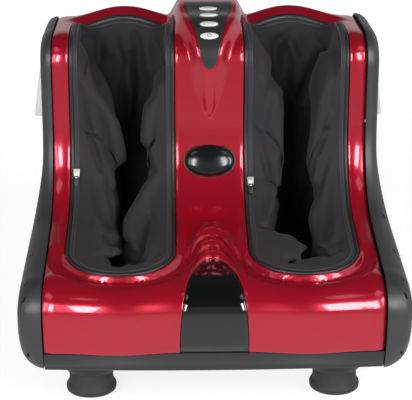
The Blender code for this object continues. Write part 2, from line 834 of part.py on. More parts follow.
def grip_outline(side, gap, low, high, leaning=False):
    """A rounded rectangle in Y and Z, drawn out along X between two distances from the middle."""
    rings = []
    for x in (low, high):
        ring = []
        for step in range(GRIP_SEGMENTS):
            angle = 2 * math.pi * (step + 1 / 2) / GRIP_SEGMENTS
            across, up = math.cos(angle), math.sin(angle)
            across = math.copysign(abs(across) ** (2 / GRIP_POWER), across)
            up = math.copysign(abs(up) ** (2 / GRIP_POWER), up)
            y = GRIP_Y + (GRIP_HALF_LENGTH + gap) * across
            z = GRIP_Z + (GRIP_HALF_HEIGHT + gap) * up
            lean = grip_lean(z) if leaning and x == high else 0
            ring.append(Vector((side * (x - lean), y, z)))
        rings.append(ring)
    return loft(rings)


def make_grip(side, label):
    """A pocket let into the panel, with a hood that stands proud above the finger opening."""
    inner = SEAM_HALF_WIDTH + FIT_GAP * 3
    outer = PANEL_CALF_HALF_WIDTH + GRIP_PROUD
    grip = add(label + "_grip", grip_outline(side, 0, inner, outer, leaning=True), SILVER_TRIM)
    low = -GRIP_HALF_LENGTH + GRIP_LIP
    top = GRIP_Z + GRIP_HALF_HEIGHT - GRIP_LIP * 2
    reach = sorted((side * (inner + GRIP_BACK), side * (outer - GRIP_LIP)))
    pocket = box(
        (reach[0], GRIP_Y + low, GRIP_Z - GRIP_HALF_HEIGHT + GRIP_LIP),
        (reach[1], GRIP_Y - low, top),
    )
    for vertex in pocket.verts:
        if vertex.co.z > GRIP_Z and abs(vertex.co.x) > PANEL_CALF_HALF_WIDTH:
            vertex.co.x -= side * grip_lean(top)
    boolean(grip, helper(label + "_grip_pocket", pocket))
    span = sorted((side * (PANEL_CALF_HALF_WIDTH - FIT_GAP), side * (outer + OVERRUN)))
    mouth = box(
        (span[0], GRIP_Y - GRIP_HALF_LENGTH - OVERRUN, GRIP_Z - GRIP_HALF_HEIGHT - OVERRUN),
        (span[1], GRIP_Y + GRIP_HALF_LENGTH + OVERRUN, GRIP_HOOD_BOTTOM),
    )
    boolean(grip, helper(label + "_grip_mouth", mouth))
    return grip


# Base tray and feet

BOSS_RADIUS = 0.0305
BOSS_ROOT_RADIUS = 0.0325
BOSS_EDGE = 0.003
FOOT_RADIUS = 0.029
FOOT_NECK_RADIUS = 0.0255
FOOT_PAD_HEIGHT = 0.009
FOOT_EDGE = 0.002
FOOT_RECESS_RADIUS = 0.006
FOOT_RECESS_DEPTH = 0.008
TRAY_FLOOR = TRAY_BOTTOM + WALL


def tray_outline(wall, low, high):
    """The tray's side view between two heights, its ends drawn in by a wall."""
    steps = 4
    points = []
    for step in range(steps + 1):
        height = low + (high - low) * step / steps
        along = along_at(min(height, SEAM_HEIGHT), 1, 0, END["foot"])
        points.append((outline_at(along)[0].x + wall, height))
    for step in range(steps + 1):
        height = high - (high - low) * step / steps
        along = along_at(min(height, SEAM_HEIGHT), 1, END["rear"], END["rear_foot"])
        points.append((outline_at(along)[0].x - wall, height))
    return points


def make_base_tray():
    half = SEAM_HALF_WIDTH - FIT_GAP
    top = SEAM_HEIGHT - FIT_GAP
    tray = add("base_tray", prism(tray_outline(0, TRAY_BOTTOM, top), -half, half), BLACK_SATIN)
    for side, label in SIDES:
        for foot_y, place in ((FOOT_FRONT_Y, "front"), (FOOT_REAR_Y, "rear")):
            boss = turned(
                [
                    (BOSS_RADIUS - BOSS_EDGE, FOOT_HEIGHT + FIT_GAP),
                    (BOSS_RADIUS, FOOT_HEIGHT + FIT_GAP + BOSS_EDGE),
                    (BOSS_ROOT_RADIUS, TRAY_BOTTOM + WALL / 2),
                ],
                upright(side * FOOT_X, foot_y),
            )
            boolean(tray, helper("_".join((place, label, "boss")), boss), "UNION")
    inside = prism(tray_outline(WALL, TRAY_FLOOR, top + OVERRUN), WALL - half, half - WALL)
    boolean(tray, helper("tray_inside", inside))
    return tray


def make_feet():
    profile = [
        (FOOT_RECESS_RADIUS, FOOT_RECESS_DEPTH),
        (FOOT_RECESS_RADIUS, 0),
        (FOOT_RADIUS - FOOT_EDGE, 0),
        (FOOT_RADIUS, FOOT_EDGE),
        (FOOT_RADIUS, FOOT_PAD_HEIGHT),
        (FOOT_NECK_RADIUS, FOOT_PAD_HEIGHT + FOOT_RADIUS - FOOT_NECK_RADIUS),
        (FOOT_NECK_RADIUS, FOOT_HEIGHT),
    ]
    for side, label in SIDES:
        for foot_y, place in ((FOOT_FRONT_Y, "front"), (FOOT_REAR_Y, "rear")):
            shape = turned(profile, upright(side * FOOT_X, foot_y))
            add("_".join(("foot", place, label)), shape, RUBBER)


# Rear cover, its screws, inlet and rocker switch

REAR_JOINT_GAP = 0.0015
SCREW_SIDE_MARGIN = 0.0516
SCREW_X = SEAM_HALF_WIDTH - SCREW_SIDE_MARGIN
UPPER_SCREW_DROP = 0.091
SCREW_HEIGHTS = (0.082, TOP_HEIGHT - UPPER_SCREW_DROP)
SCREW_RADIUS = 0.0017
SCREW_HEAD_RADIUS = 0.004
SCREW_HEAD_HEIGHT = 0.0022
SLOT_COUNT = 5
SLOT_X = 0.080
SLOT_HALF_LENGTH = 0.026
SLOT_HALF_HEIGHT = 0.0018
SLOT_PITCH = 0.0095
SLOT_START = 0.190
SERVICE_Z = 0.107
INLET_X = -0.090
INLET_HALF_WIDTH = 0.0135
INLET_HALF_HEIGHT = 0.0095
INLET_DEPTH = 0.022
INLET_SOCKET_DEPTH = 0.014
INLET_RIM = 0.0025
INLET_SINK = 0.0004
PIN_RADIUS = 0.0012
PIN_SPACING = 0.0086
ROCKER_X = -0.048
ROCKER_HALF_WIDTH = 0.006
ROCKER_HALF_HEIGHT = 0.009
ROCKER_DEPTH = 0.009
ROCKER_TILT_DEGREES = 8
ROCKER_GAP = 0.0012


def make_rear_cover():
    """The curved back wall from the tray seam to the shell, with slots, inlet and switch holes."""
    runs = stations(
        (SHELL_END + REAR_JOINT_GAP, END["rear_corner"], 3),
        (END["rear_corner"], END["rear"], 2),
        (END["rear"], along_at(SEAM_HEIGHT + FIT_GAP, 1, END["rear"], END["rear_foot"]), 2),
    )
    outer = [outline_at(along)[0] for along in runs]
    inner = [outline_at(along)[0] - outline_at(along)[1] * WALL for along in reversed(runs)]
    half = SEAM_HALF_WIDTH - FIT_GAP
    cover = add("rear_cover", prism([tuple(point) for point in outer + inner], -half, half), BLACK_SATIN)
    shape = bmesh.new()
    deep = (REAR_REACH - OVERRUN, REAR_REACH + OVERRUN)
    for side, _ in SIDES:
        for number in range(SLOT_COUNT):
            middle = SLOT_START + SLOT_PITCH * number
            box(
                (side * SLOT_X - SLOT_HALF_LENGTH, deep[0], middle - SLOT_HALF_HEIGHT),
                (side * SLOT_X + SLOT_HALF_LENGTH, deep[1], middle + SLOT_HALF_HEIGHT),
                shape,
            )
        for height in SCREW_HEIGHTS:
            rod(along_y(side * SCREW_X, 0, height), SCREW_RADIUS + FIT_GAP, *deep, 8, shape)
    openings = (
        (INLET_X, INLET_HALF_WIDTH + FIT_GAP, INLET_HALF_HEIGHT + FIT_GAP),
        (ROCKER_X, ROCKER_HALF_WIDTH + FIT_GAP, ROCKER_HALF_HEIGHT + ROCKER_GAP),
    )
    for x, wide, high in openings:
        box((x - wide, deep[0], SERVICE_Z - high), (x + wide, deep[1], SERVICE_Z + high), shape)
    boolean(cover, helper("rear_cover_holes", shape))
    return cover


def rear_face(height):
    """How far back the outer face of the rear cover lies at a height."""
    return outline_at(along_at(height, 1, END["top"], END["rear_foot"]))[0].x


def make_rear_screws():
    for side, label in SIDES:
        for height, place in zip(SCREW_HEIGHTS, ("lower", "upper")):
            face = rear_face(height) + FIT_GAP * 3
            length = face - UPRIGHT_FRONT + FIT_GAP
            shape = turned(
                [
                    (SCREW_RADIUS, -length),
                    (SCREW_RADIUS, 0),
                    (SCREW_HEAD_RADIUS, 0),
                    (SCREW_HEAD_RADIUS, SCREW_HEAD_HEIGHT / 2),
                    (SCREW_HEAD_RADIUS / 2, SCREW_HEAD_HEIGHT),
                ],
                along_y(side * SCREW_X, face, height), 8,
            )
            add("_".join((place, label, "rear_screw")), shape, STEEL)


def make_power_inlet():
    """A two-pin socket: an open rim round a recess with two pins."""
    face = rear_face(SERVICE_Z) - INLET_SINK
    place = Matrix.Translation((INLET_X, face, SERVICE_Z)) @ Matrix.Rotation(-math.pi / 2, 4, "X")
    wide, high, rim = INLET_HALF_WIDTH, INLET_HALF_HEIGHT, INLET_RIM
    body = box(
        (INLET_X - wide, face - INLET_DEPTH, SERVICE_Z - high),
        (INLET_X + wide, face, SERVICE_Z + high),
    )
    inlet = add("power_inlet", body, BLACK_SATIN)
    recess = oval(
        place, [(wide - rim, high - rim, -INLET_SOCKET_DEPTH), (wide - rim, high - rim, OVERRUN)],
        power=3, segments=16,
    )
    boolean(inlet, helper("inlet_recess", recess))
    pins = bmesh.new()
    for side, _ in SIDES:
        pin = along_y(INLET_X + side * PIN_SPACING / 2, face, SERVICE_Z)
        rod(pin, PIN_RADIUS, -INLET_SOCKET_DEPTH - INLET_RIM, -INLET_RIM, 8, pins)
    boolean(inlet, helper("inlet_pins", pins), "UNION")
    return inlet


def make_power_rocker():
    """A rocker whose face is two flats that meet over its axis, tipped to its off side."""
    face = rear_face(SERVICE_Z)
    axis = Vector((ROCKER_X, face - WALL, SERVICE_Z))
    tilt = math.radians(ROCKER_TILT_DEGREES)
    high = ROCKER_HALF_HEIGHT
    points = [
        (WALL - high * math.tan(tilt) / 2, -high),
        (WALL - high * math.tan(tilt) / 2 + high * math.tan(tilt) / 2, 0),
        (WALL - high * math.tan(tilt) / 2, high),
        (-WALL, high * math.cos(tilt)),
        (-ROCKER_DEPTH, high / 2),
        (-ROCKER_DEPTH, -high / 2),
        (-WALL, -high * math.cos(tilt)),
    ]
    turn = Matrix.Rotation(tilt, 2)
    outline = [turn @ Vector(point) + axis.yz for point in points]
    shape = prism([tuple(p) for p in outline], ROCKER_X - ROCKER_HALF_WIDTH, ROCKER_X + ROCKER_HALF_WIDTH)
    return add("power_rocker", shape, BLACK_GLOSS, axis)


# Control plate, buttons, lens and the board under them

BUTTON_PROUD = 0.0016
BUTTON_FLANGE = 0.0014
BUTTON_FLANGE_THICKNESS = 0.0012
BUTTON_FLANGE_DROP = 0.0022
BUTTON_TRAVEL = 0.001
BUTTON_EDGE = 0.0012
LENS_RIM_HEIGHT = 0.0035
LENS_DOME_HEIGHT = 0.0085
LENS_SKIRT = 0.003
LENS_DOME_SHARES = ((1.0, 0.0), (0.93, 0.42), (0.76, 0.72), (0.50, 0.92), (0.20, 1.0))
KEY_BOARD_HALF_WIDTH = 0.0170
KEY_BOARD_MARGIN = 0.0080
KEY_BOARD_DROP = 0.0085
KEY_SWITCH_RADIUS = 0.0026
KEY_POST_REACH = 0.0045
BOARD_THICKNESS = 0.0016
KEY_POST_RADIUS = 0.0014
KEY_POST_X = 0.0150


def make_control_plate():
    """A leaf-shaped plate that follows the console's crown."""
    runs = [PLATE_START]
    runs += [along for along in SHELL_RUNS if PLATE_START + FIT_GAP < along < PLATE_END - FIT_GAP]
    rows = []
    for along in runs + [PLATE_END]:
        wide = plate_half_width(along)
        low, high = FIT_GAP, FIT_GAP + PLATE_THICKNESS
        rows.append(
            [
                skin(along, -wide, low), skin(along, 0, low), skin(along, wide, low),
                skin(along, wide, high), skin(along, 0, high), skin(along, -wide, high),
            ]
        )
    plate = add("control_plate", loft(rows), PLATE_GREY)
    boolean(plate, bpy.data.objects["key_cut"])
    return plate


def button_depth():
    """From the plate's top down to the underside of the shell."""
    return FIT_GAP + PLATE_THICKNESS + WALL


def make_buttons():
    """Oval keys with a flange below the shell that keeps them in."""
    wide, high = BUTTON_HALF_WIDTH, BUTTON_HALF_HEIGHT
    under = -button_depth() - BUTTON_FLANGE_DROP
    foot = under - BUTTON_FLANGE_THICKNESS
    levels = [
        (wide + BUTTON_FLANGE, high + BUTTON_FLANGE, foot),
        (wide + BUTTON_FLANGE, high + BUTTON_FLANGE, under),
        (wide, high, under),
        (wide, high, BUTTON_PROUD - BUTTON_EDGE / 2),
        (wide - BUTTON_EDGE, high - BUTTON_EDGE, BUTTON_PROUD),
    ]
    for place, name in zip(button_places(), BUTTON_NAMES):
        add(name, oval(place, levels), BUTTON_WHITE, place.translation)


def make_oval_lens():
    place = lens_place()
    levels = [(LENS_HALF_WIDTH, LENS_HALF_HEIGHT, -LENS_SKIRT)]
    for wide_share, rise_share in LENS_DOME_SHARES:
        levels.append(
            (
                LENS_HALF_WIDTH * wide_share,
                LENS_HALF_HEIGHT * wide_share,
                LENS_RIM_HEIGHT + (LENS_DOME_HEIGHT - LENS_RIM_HEIGHT) * rise_share,
            )
        )
    return add("oval_lens", oval(place, levels, segments=LENS_SEGMENTS), BLACK_GLOSS)


def make_button_board():
    """A flat board behind the keys, with a switch below each and four posts up to the shell."""
    places = button_places()
    first, last = places[0].translation, places[-1].translation
    run = (last - first).normalized()
    out = Vector((1, 0, 0)).cross(run)
    rotation = Matrix((Vector((1, 0, 0)), run, out)).transposed().to_4x4()
    flange_foot = button_depth() + BUTTON_FLANGE_DROP + BUTTON_FLANGE_THICKNESS
    place = Matrix.Translation(first - out * (flange_foot + KEY_BOARD_DROP)) @ rotation
    length = (last - first).length
    half, near, far = KEY_BOARD_HALF_WIDTH, -KEY_BOARD_MARGIN, length + KEY_BOARD_MARGIN
    corners = ((-half, near), (half, near), (half, far), (-half, far))
    rings = [[place @ Vector((x, y, z)) for x, y in corners] for z in (-BOARD_THICKNESS, 0)]
    board = add("button_board", loft(rings), BOARD_GREEN)
    inverse = place.inverted()
    posts = bmesh.new()
    for key in places:
        top = inverse @ key @ Vector((0, 0, -flange_foot - BUTTON_TRAVEL * 2))
        foot = place @ Matrix.Translation((0, top.y, 0))
        rod(foot, KEY_SWITCH_RADIUS, -BOARD_THICKNESS / 2, top.z, 10, posts)
    start = PLATE_START + BUTTON_START
    for along in (start - KEY_POST_REACH, start + BUTTON_PITCH * 3 + KEY_POST_REACH):
        for side, _ in SIDES:
            under = inverse @ skin(along, side * KEY_POST_X, -WALL - FIT_GAP - KEY_POST_RADIUS)
            foot = place @ Matrix.Translation((under.x, under.y, 0))
            rod(foot, KEY_POST_RADIUS, -BOARD_THICKNESS / 2, under.z, 10, posts)
    boolean(board, helper("button_board_posts", posts), "UNION")
    return board


# Collars, zips and sliders

COLLAR_GAP = 0.0008
COLLAR_WIDTH = 0.004
COLLAR_PROUD = 0.0012
COLLAR_DEPTH = 0.008
ZIP_WIDTH = 0.0046
ZIP_PROUD = 0.0006
ZIP_DEPTH = 0.003
SLIDER_WIDTH = 0.0068
SLIDER_LENGTH = 0.011
SLIDER_THICKNESS = 0.0022
SLIDER_GAP = 0.0006
SLIDER_ANGLES = {"left": 34.0, "right": 41.0}
LUG_WIDTH = 0.0022
LUG_LENGTH = 0.0036
LUG_HEIGHT = 0.0032
PULL_WIDTH = 0.0056
PULL_LENGTH = 0.018
PULL_THICKNESS = 0.0011
PULL_PIVOT = 0.0019


def ring_between(side, start, stop, low, high):
    """A band round the rim, between two insets and two heights over the surface."""
    corners = ((start, low), (start, high), (stop, high), (stop, low))
    return endless([rim_loop(side, inset, lift) for inset, lift in corners])


def make_collar(side, label):
    start = COLLAR_GAP
    shape = ring_between(side, start, start + COLLAR_WIDTH, -COLLAR_DEPTH, COLLAR_PROUD)
    return add(label + "_collar", shape, BLACK_SATIN)


def zip_start():
    return COLLAR_GAP + COLLAR_WIDTH + FIT_GAP * 2


def make_zip(side, label):
    shape = ring_between(side, zip_start(), zip_start() + ZIP_WIDTH, -ZIP_DEPTH, ZIP_PROUD)
    return add(label + "_zip", shape, ZIP_TAPE)


def slider_frame(side, label):
    """On the round bend: the left well's outer run, and the right well's inner run."""
    along = END["bend"] - BEND_RADIUS * math.radians(SLIDER_ANGLES[label])
    x = side * WELL_CENTRE - (WELL_HALF_WIDTH - zip_start() - ZIP_WIDTH / 2)
    return skin_frame(along, x, COLLAR_PROUD + SLIDER_GAP)


def make_slider(side, label):
    """A flat zinc body with a lug on top for its pull."""
    place = slider_frame(side, label)
    wide, high = SLIDER_WIDTH / 2, SLIDER_LENGTH / 2
    shape = oval(place, [(wide, high, 0), (wide, high, SLIDER_THICKNESS)], power=3, segments=14)
    axis = Vector((place.translation.x, BEND_Y, BEND_HEIGHT))
    slider = add(label + "_slider", shape, ZIP_METAL, axis)
    root = SLIDER_THICKNESS / 2
    lug = oval(
        place, [(LUG_WIDTH / 2, LUG_LENGTH / 2, root), (LUG_WIDTH / 2, LUG_LENGTH / 2, LUG_HEIGHT + root)],
        power=4, segments=8,
    )
    boolean(slider, helper(label + "_lug", lug), "UNION")
    return slider


def make_pull(side, label):
    """A forked tab that swings on the lug and hangs down the surface."""
    place = slider_frame(side, label) @ Matrix.Translation((0, 0, SLIDER_THICKNESS + PULL_PIVOT))
    half, slot = PULL_WIDTH / 2, LUG_WIDTH / 2 + FIT_GAP
    fork = PULL_THICKNESS
    notch = -LUG_LENGTH
    outline = (
        (-half, fork), (-slot, fork), (-slot, notch), (slot, notch), (slot, fork), (half, fork),
        (half, -PULL_LENGTH + half), (half / 2, -PULL_LENGTH), (-half / 2, -PULL_LENGTH),
        (-half, -PULL_LENGTH + half),
    )
    rings = []
    for level in (-PULL_THICKNESS / 2, PULL_THICKNESS / 2):
        rings.append([place @ Vector((x, y, level)) for x, y in outline])
    return add(label + "_pull", loft(rings), BLACK_SATIN, place.translation)


# Linings: cloth sacks that hang from the zips

LINER_WALL = 0.0022
LINER_GAP = 0.0004
LINER_RIM_LIFT = 0.0004
LINER_DRAW = 0.0022
LINER_LEAN = 0.020
LINER_TUCK = 0.006
FOLD_DEPTH = 0.0016
FOLD_COUNT = 13
PUFF_DEPTH = 0.009
PUFF_Y = -0.020
PUFF_Z = 0.125
PUFF_LENGTH = 0.055
PUFF_HEIGHT = 0.045
LINER_ROW_SHARES = (0.0, 0.05, 0.16, 0.36, 0.58, 0.80, 0.95, 1.0)
LINER_DRAW_SHARES = (0.0, 0.35, 0.60, 0.80, 0.90, 1.0, 1.6, 4.0)


def floor_y(along, y):
    """Where a lining column that starts on a straight side meets the floor."""
    knots = (END["bend"], END["calf_front"], REAR_ALONG)
    if along <= knots[0]:
        return y
    return between(knots, (CALF_FRONT, CALF_FRONT + LINER_LEAN, REAR_CENTRE_Y), along)


def liner_rows(side):
    """Rows of the sack from rim to floor, drawn in from the zip and hung with folds."""
    inset = zip_start() + ZIP_WIDTH + LINER_GAP
    places = rim_places(side, inset)
    rows = []
    for down, draw in zip(LINER_ROW_SHARES, LINER_DRAW_SHARES):
        row = []
        for number, (along, x) in enumerate(places):
            rim = skin(along, x, LINER_RIM_LIFT)
            foot_y = floor_y(along, rim.y)
            straight = TOE_CENTRE_Y <= rim.y <= REAR_CENTRE_Y
            centre_y = min(max(foot_y, TOE_CENTRE_Y), REAR_CENTRE_Y)
            inward = Vector((side * WELL_CENTRE - x, 0 if straight else centre_y - rim.y, 0)).normalized()
            fold = math.sin(2 * math.pi * FOLD_COUNT * number / len(places)) ** 2
            fold *= math.sin(math.pi * min(down * 1.15, 1.0))
            height = rim.z + (WELL_FLOOR - rim.z) * down
            puff = max(0.0, 1 - ((foot_y - PUFF_Y) / PUFF_LENGTH) ** 2)
            puff *= max(0.0, 1 - ((height - PUFF_Z) / PUFF_HEIGHT) ** 2)
            depth = LINER_DRAW * draw + FOLD_DEPTH * fold + (PUFF_DEPTH * puff if straight else 0)
            row.append(Vector((rim.x, rim.y + (foot_y - rim.y) * down, height)) + inward * depth)
        rows.append(row)
    return rows


def make_liner(side, label):
    rows = liner_rows(side)
    shape = bmesh.new()
    floor = sheet_faces(shape, rows, closed=True)[-1]
    shape.faces.new(floor)
    liner = add(label + "_liner", shape, LINING, smooth_angle=60)
    solidify(liner, LINER_WALL)
    return liner


# Chassis

CHASSIS_SIDE_MARGIN = 0.0156
CHASSIS_HALF_WIDTH = SEAM_HALF_WIDTH - CHASSIS_SIDE_MARGIN
CHASSIS_FRONT = -0.160
UPRIGHT_REAR_MARGIN = 0.018
UPRIGHT_FRONT = REAR_REACH - UPRIGHT_REAR_MARGIN
UPRIGHT_SIDE_MARGIN = 0.0416
UPRIGHT_HALF_WIDTH = SEAM_HALF_WIDTH - UPRIGHT_SIDE_MARGIN
UPRIGHT_TOP = REAR_SHOULDER
BLOCK_HALF_THICKNESS = 0.004
BLOCK_SIDE_MARGIN = 0.0158
BLOCK_OFFSET = WELL_HALF_WIDTH - BLOCK_SIDE_MARGIN
BLOCK_HALF_LENGTH = 0.010
BLOCK_TOP = 0.0705
BORE_GAP = 0.0003
SERVICE_WINDOW = (-0.115, -0.030)
SERVICE_WINDOW_HALF_HEIGHT = 0.020
SLOT_WINDOW_HALF_WIDTH = 0.032
SLOT_WINDOW_LOW = 0.182
SLOT_WINDOW_HIGH = 0.236
BOARD_SIDE_MARGIN = 0.016
BOARD_X = (0.046, UPRIGHT_HALF_WIDTH - BOARD_SIDE_MARGIN)
BOARD_Z = (0.090, 0.168)
BOARD_STAND = 0.005
BOARD_POST_RADIUS = 0.003
BOARD_POST_INSET = 0.006
COIL_MARGIN = 0.008
COIL_WIDTH = 0.032
COIL_DEPTH = 0.018
CAN_RADIUS = 0.0055
CAN_HEIGHT = 0.015
CAN_PITCH = 0.014

CHASSIS_BASE = TRAY_FLOOR + FIT_GAP
CHASSIS_TOP = CHASSIS_BASE + WALL


def make_chassis():
    """A base plate with bearing blocks for the rollers, and an upright for the kneading drive."""
    rear = UPRIGHT_FRONT + WALL
    chassis = add(
        "chassis",
        box((-CHASSIS_HALF_WIDTH, CHASSIS_FRONT, CHASSIS_BASE), (CHASSIS_HALF_WIDTH, rear, CHASSIS_TOP)),
        GREY_NYLON,
    )
    wall = box(
        (-UPRIGHT_HALF_WIDTH, UPRIGHT_FRONT, CHASSIS_BASE + WALL / 2),
        (UPRIGHT_HALF_WIDTH, rear, UPRIGHT_TOP),
    )
    boolean(chassis, helper("chassis_upright", wall), "UNION")
    blocks = bmesh.new()
    for side, _ in SIDES:
        for end in (-1, 1):
            x = side * WELL_CENTRE + end * BLOCK_OFFSET
            for y in (ROLLER_FRONT_Y, ROLLER_REAR_Y):
                box(
                    (x - BLOCK_HALF_THICKNESS, y - BLOCK_HALF_LENGTH, CHASSIS_BASE + WALL / 2),
                    (x + BLOCK_HALF_THICKNESS, y + BLOCK_HALF_LENGTH, BLOCK_TOP),
                    blocks,
                )
    boolean(chassis, helper("chassis_blocks", blocks), "UNION")
    posts = bmesh.new()
    for x in (BOARD_X[0] + BOARD_POST_INSET, BOARD_X[1] - BOARD_POST_INSET):
        for z in (BOARD_Z[0] + BOARD_POST_INSET, BOARD_Z[1] - BOARD_POST_INSET):
            post = along_y(x, UPRIGHT_FRONT, z)
            rod(post, BOARD_POST_RADIUS, -BOARD_STAND, WALL / 2, 10, posts)
    boolean(chassis, helper("chassis_posts", posts), "UNION")
    holes = bmesh.new()
    reach = CHASSIS_HALF_WIDTH + OVERRUN
    for y in (ROLLER_FRONT_Y, ROLLER_REAR_Y):
        axis = along_x(0, y, ROLLER_AXIS_Z)
        rod(axis, ROLLER_SHAFT_RADIUS + BORE_GAP, -reach, reach, SHAFT_SEGMENTS, holes)
    deep = (UPRIGHT_FRONT - OVERRUN / 2, rear + OVERRUN / 2)
    box(
        (SERVICE_WINDOW[0], deep[0], SERVICE_Z - SERVICE_WINDOW_HALF_HEIGHT),
        (SERVICE_WINDOW[1], deep[1], SERVICE_Z + SERVICE_WINDOW_HALF_HEIGHT),
        holes,
    )
    for side, _ in SIDES:
        box(
            (side * SLOT_X - SLOT_WINDOW_HALF_WIDTH, deep[0], SLOT_WINDOW_LOW),
            (side * SLOT_X + SLOT_WINDOW_HALF_WIDTH, deep[1], SLOT_WINDOW_HIGH),
            holes,
        )
        for height in SCREW_HEIGHTS:
            rod(along_y(side * SCREW_X, 0, height), SCREW_RADIUS + FIT_GAP, *deep, 8, holes)
    boolean(chassis, helper("chassis_holes", holes))
    return chassis


def make_power_board():
    """The supply board on the upright's posts, with its transformer and capacitors."""
    back = UPRIGHT_FRONT - BOARD_STAND - FIT_GAP
    board = add(
        "power_board",
        box((BOARD_X[0], back - BOARD_THICKNESS, BOARD_Z[0]), (BOARD_X[1], back, BOARD_Z[1])),
        BOARD_GREEN,
    )
    front = back - BOARD_THICKNESS / 2
    lumps = bmesh.new()
    box(
        (BOARD_X[0] + COIL_MARGIN, front - COIL_DEPTH, BOARD_Z[0] + COIL_MARGIN),
        (BOARD_X[0] + COIL_MARGIN + COIL_WIDTH, front, BOARD_Z[0] + COIL_MARGIN + COIL_WIDTH),
        lumps,
    )
    for number in range(3):
        x = BOARD_X[1] - COIL_MARGIN - CAN_PITCH * number
        rod(along_y(x, front, BOARD_Z[1] - COIL_MARGIN * 2), CAN_RADIUS, -CAN_HEIGHT, 0, 10, lumps)
    boolean(board, helper("power_board_parts", lumps), "UNION")
    return board


# Kneading drive

HUB_BRIDGE_MARGIN = 0.0082
HUB_INNER_X = BRIDGE_HALF_WIDTH - HUB_BRIDGE_MARGIN
HUB_SIDE_MARGIN = 0.0156
HUB_OUTER_X = SEAM_HALF_WIDTH - HUB_SIDE_MARGIN
BALL_RADIUS = 0.014
BALL_HALF_WIDTH = 0.0065
SHAFT_SIDE_MARGIN = 0.0061
SHAFT_END = SEAM_HALF_WIDTH - SHAFT_SIDE_MARGIN
GEARBOX_HALF_WIDTH = 0.0215
GEARBOX_DEPTH = 0.024
GEARBOX_FRONT = KNEAD_SHAFT_Y - GEARBOX_DEPTH
GEARBOX_HALF_HEIGHT = 0.025
MOTOR_RADIUS = 0.0195
MOTOR_LENGTH = 0.085
MOTOR_CAP = 0.006
BEARING_SHIFT = 0.0015
BEARING_X = WELL_CENTRE - BEARING_SHIFT
BEARING_HALF_WIDTH = 0.005
BEARING_HALF_HEIGHT = 0.011
PADDLE_HALF_THICKNESS = 0.004
PADDLE_BORE_GAP = 0.0005
PADDLE_REACH = 0.118
PADDLE_TIP_Y = KNEAD_SHAFT_Y - PADDLE_REACH
PADDLE_HALF_HEIGHT = 0.044
PADDLE_HEIGHT_SHARES = (0.26, 0.43, 0.40, 0.30, 0.62, 0.95, 1.0, 0.80, 0.30)
NODE_RADIUS = 0.013
NODE_RISE = 0.0028
NODE_OFFSETS = (0.096, 0.062)
NODE_REACHES = [KNEAD_SHAFT_Y - offset for offset in NODE_OFFSETS]


def make_knead_shaft():
    """One steel shaft with four ball hubs that carry the paddles off square."""
    profile = [(KNEAD_SHAFT_RADIUS, -SHAFT_END)]
    for centre in (-HUB_OUTER_X, -HUB_INNER_X, HUB_INNER_X, HUB_OUTER_X):
        profile.append((KNEAD_SHAFT_RADIUS, centre - BALL_HALF_WIDTH - FIT_GAP))
        for step in range(-1, 2):
            offset = BALL_HALF_WIDTH * step
            profile.append((math.sqrt(BALL_RADIUS ** 2 - offset ** 2), centre + offset))
        profile.append((KNEAD_SHAFT_RADIUS, centre + BALL_HALF_WIDTH + FIT_GAP))
    profile.append((KNEAD_SHAFT_RADIUS, SHAFT_END))
    axis = (0, KNEAD_SHAFT_Y, KNEAD_SHAFT_Z)
    return add("knead_shaft", turned(profile, along_x(*axis), SHAFT_SEGMENTS), STEEL, axis)


def make_knead_drive():
    """Worm gearbox round the middle of the shaft, its motor below, a bearing each side."""
    low, high = KNEAD_SHAFT_Z - GEARBOX_HALF_HEIGHT, KNEAD_SHAFT_Z + GEARBOX_HALF_HEIGHT
    back = UPRIGHT_FRONT - FIT_GAP
    gearbox = add(
        "knead_gearbox",
        box((-GEARBOX_HALF_WIDTH, GEARBOX_FRONT, low), (GEARBOX_HALF_WIDTH, back, high)),
        GREY_NYLON,
    )
    soften(gearbox, WALL)
    reach = SHAFT_END + OVERRUN
    axis = along_x(0, KNEAD_SHAFT_Y, KNEAD_SHAFT_Z)
    bore = rod(axis, KNEAD_SHAFT_RADIUS + BORE_GAP, -reach, reach, SHAFT_SEGMENTS)
    bore = helper("knead_shaft_bore", bore)
    boolean(gearbox, bore)
    middle = (GEARBOX_FRONT + back) / 2
    top = low - FIT_GAP
    motor = turned(
        [
            (MOTOR_RADIUS / 2, top - MOTOR_LENGTH), (MOTOR_RADIUS / 2, top - MOTOR_LENGTH + MOTOR_CAP),
            (MOTOR_RADIUS, top - MOTOR_LENGTH + MOTOR_CAP), (MOTOR_RADIUS, top - MOTOR_CAP),
            (MOTOR_RADIUS - WALL, top - MOTOR_CAP), (MOTOR_RADIUS - WALL, top),
        ],
        upright(0, middle),
    )
    add("knead_motor", motor, STEEL)
    for side, label in SIDES:
        x = side * BEARING_X
        wide, high = BEARING_HALF_WIDTH, BEARING_HALF_HEIGHT
        shape = box(
            (x - wide, KNEAD_SHAFT_Y - high, KNEAD_SHAFT_Z - high),
            (x + wide, back, KNEAD_SHAFT_Z + high),
        )
        bearing = add(label + "_bearing", shape, GREY_NYLON)
        soften(bearing, WALL / 2, 1)
        boolean(bearing, bore)


def paddle_outline():
    """Seen along X: a round hub, a slim neck and a broad leaf, as (y, z)."""
    start = KNEAD_SHAFT_Y + PADDLE_HALF_HEIGHT * PADDLE_HEIGHT_SHARES[1]
    last = len(PADDLE_HEIGHT_SHARES) - 1
    upper = []
    for index, share in enumerate(PADDLE_HEIGHT_SHARES):
        upper.append((start + (PADDLE_TIP_Y - start) * index / last, PADDLE_HALF_HEIGHT * share))
    outline = [(y, KNEAD_SHAFT_Z + rise) for y, rise in upper]
    return outline + [(y, KNEAD_SHAFT_Z - rise) for y, rise in reversed(upper)]


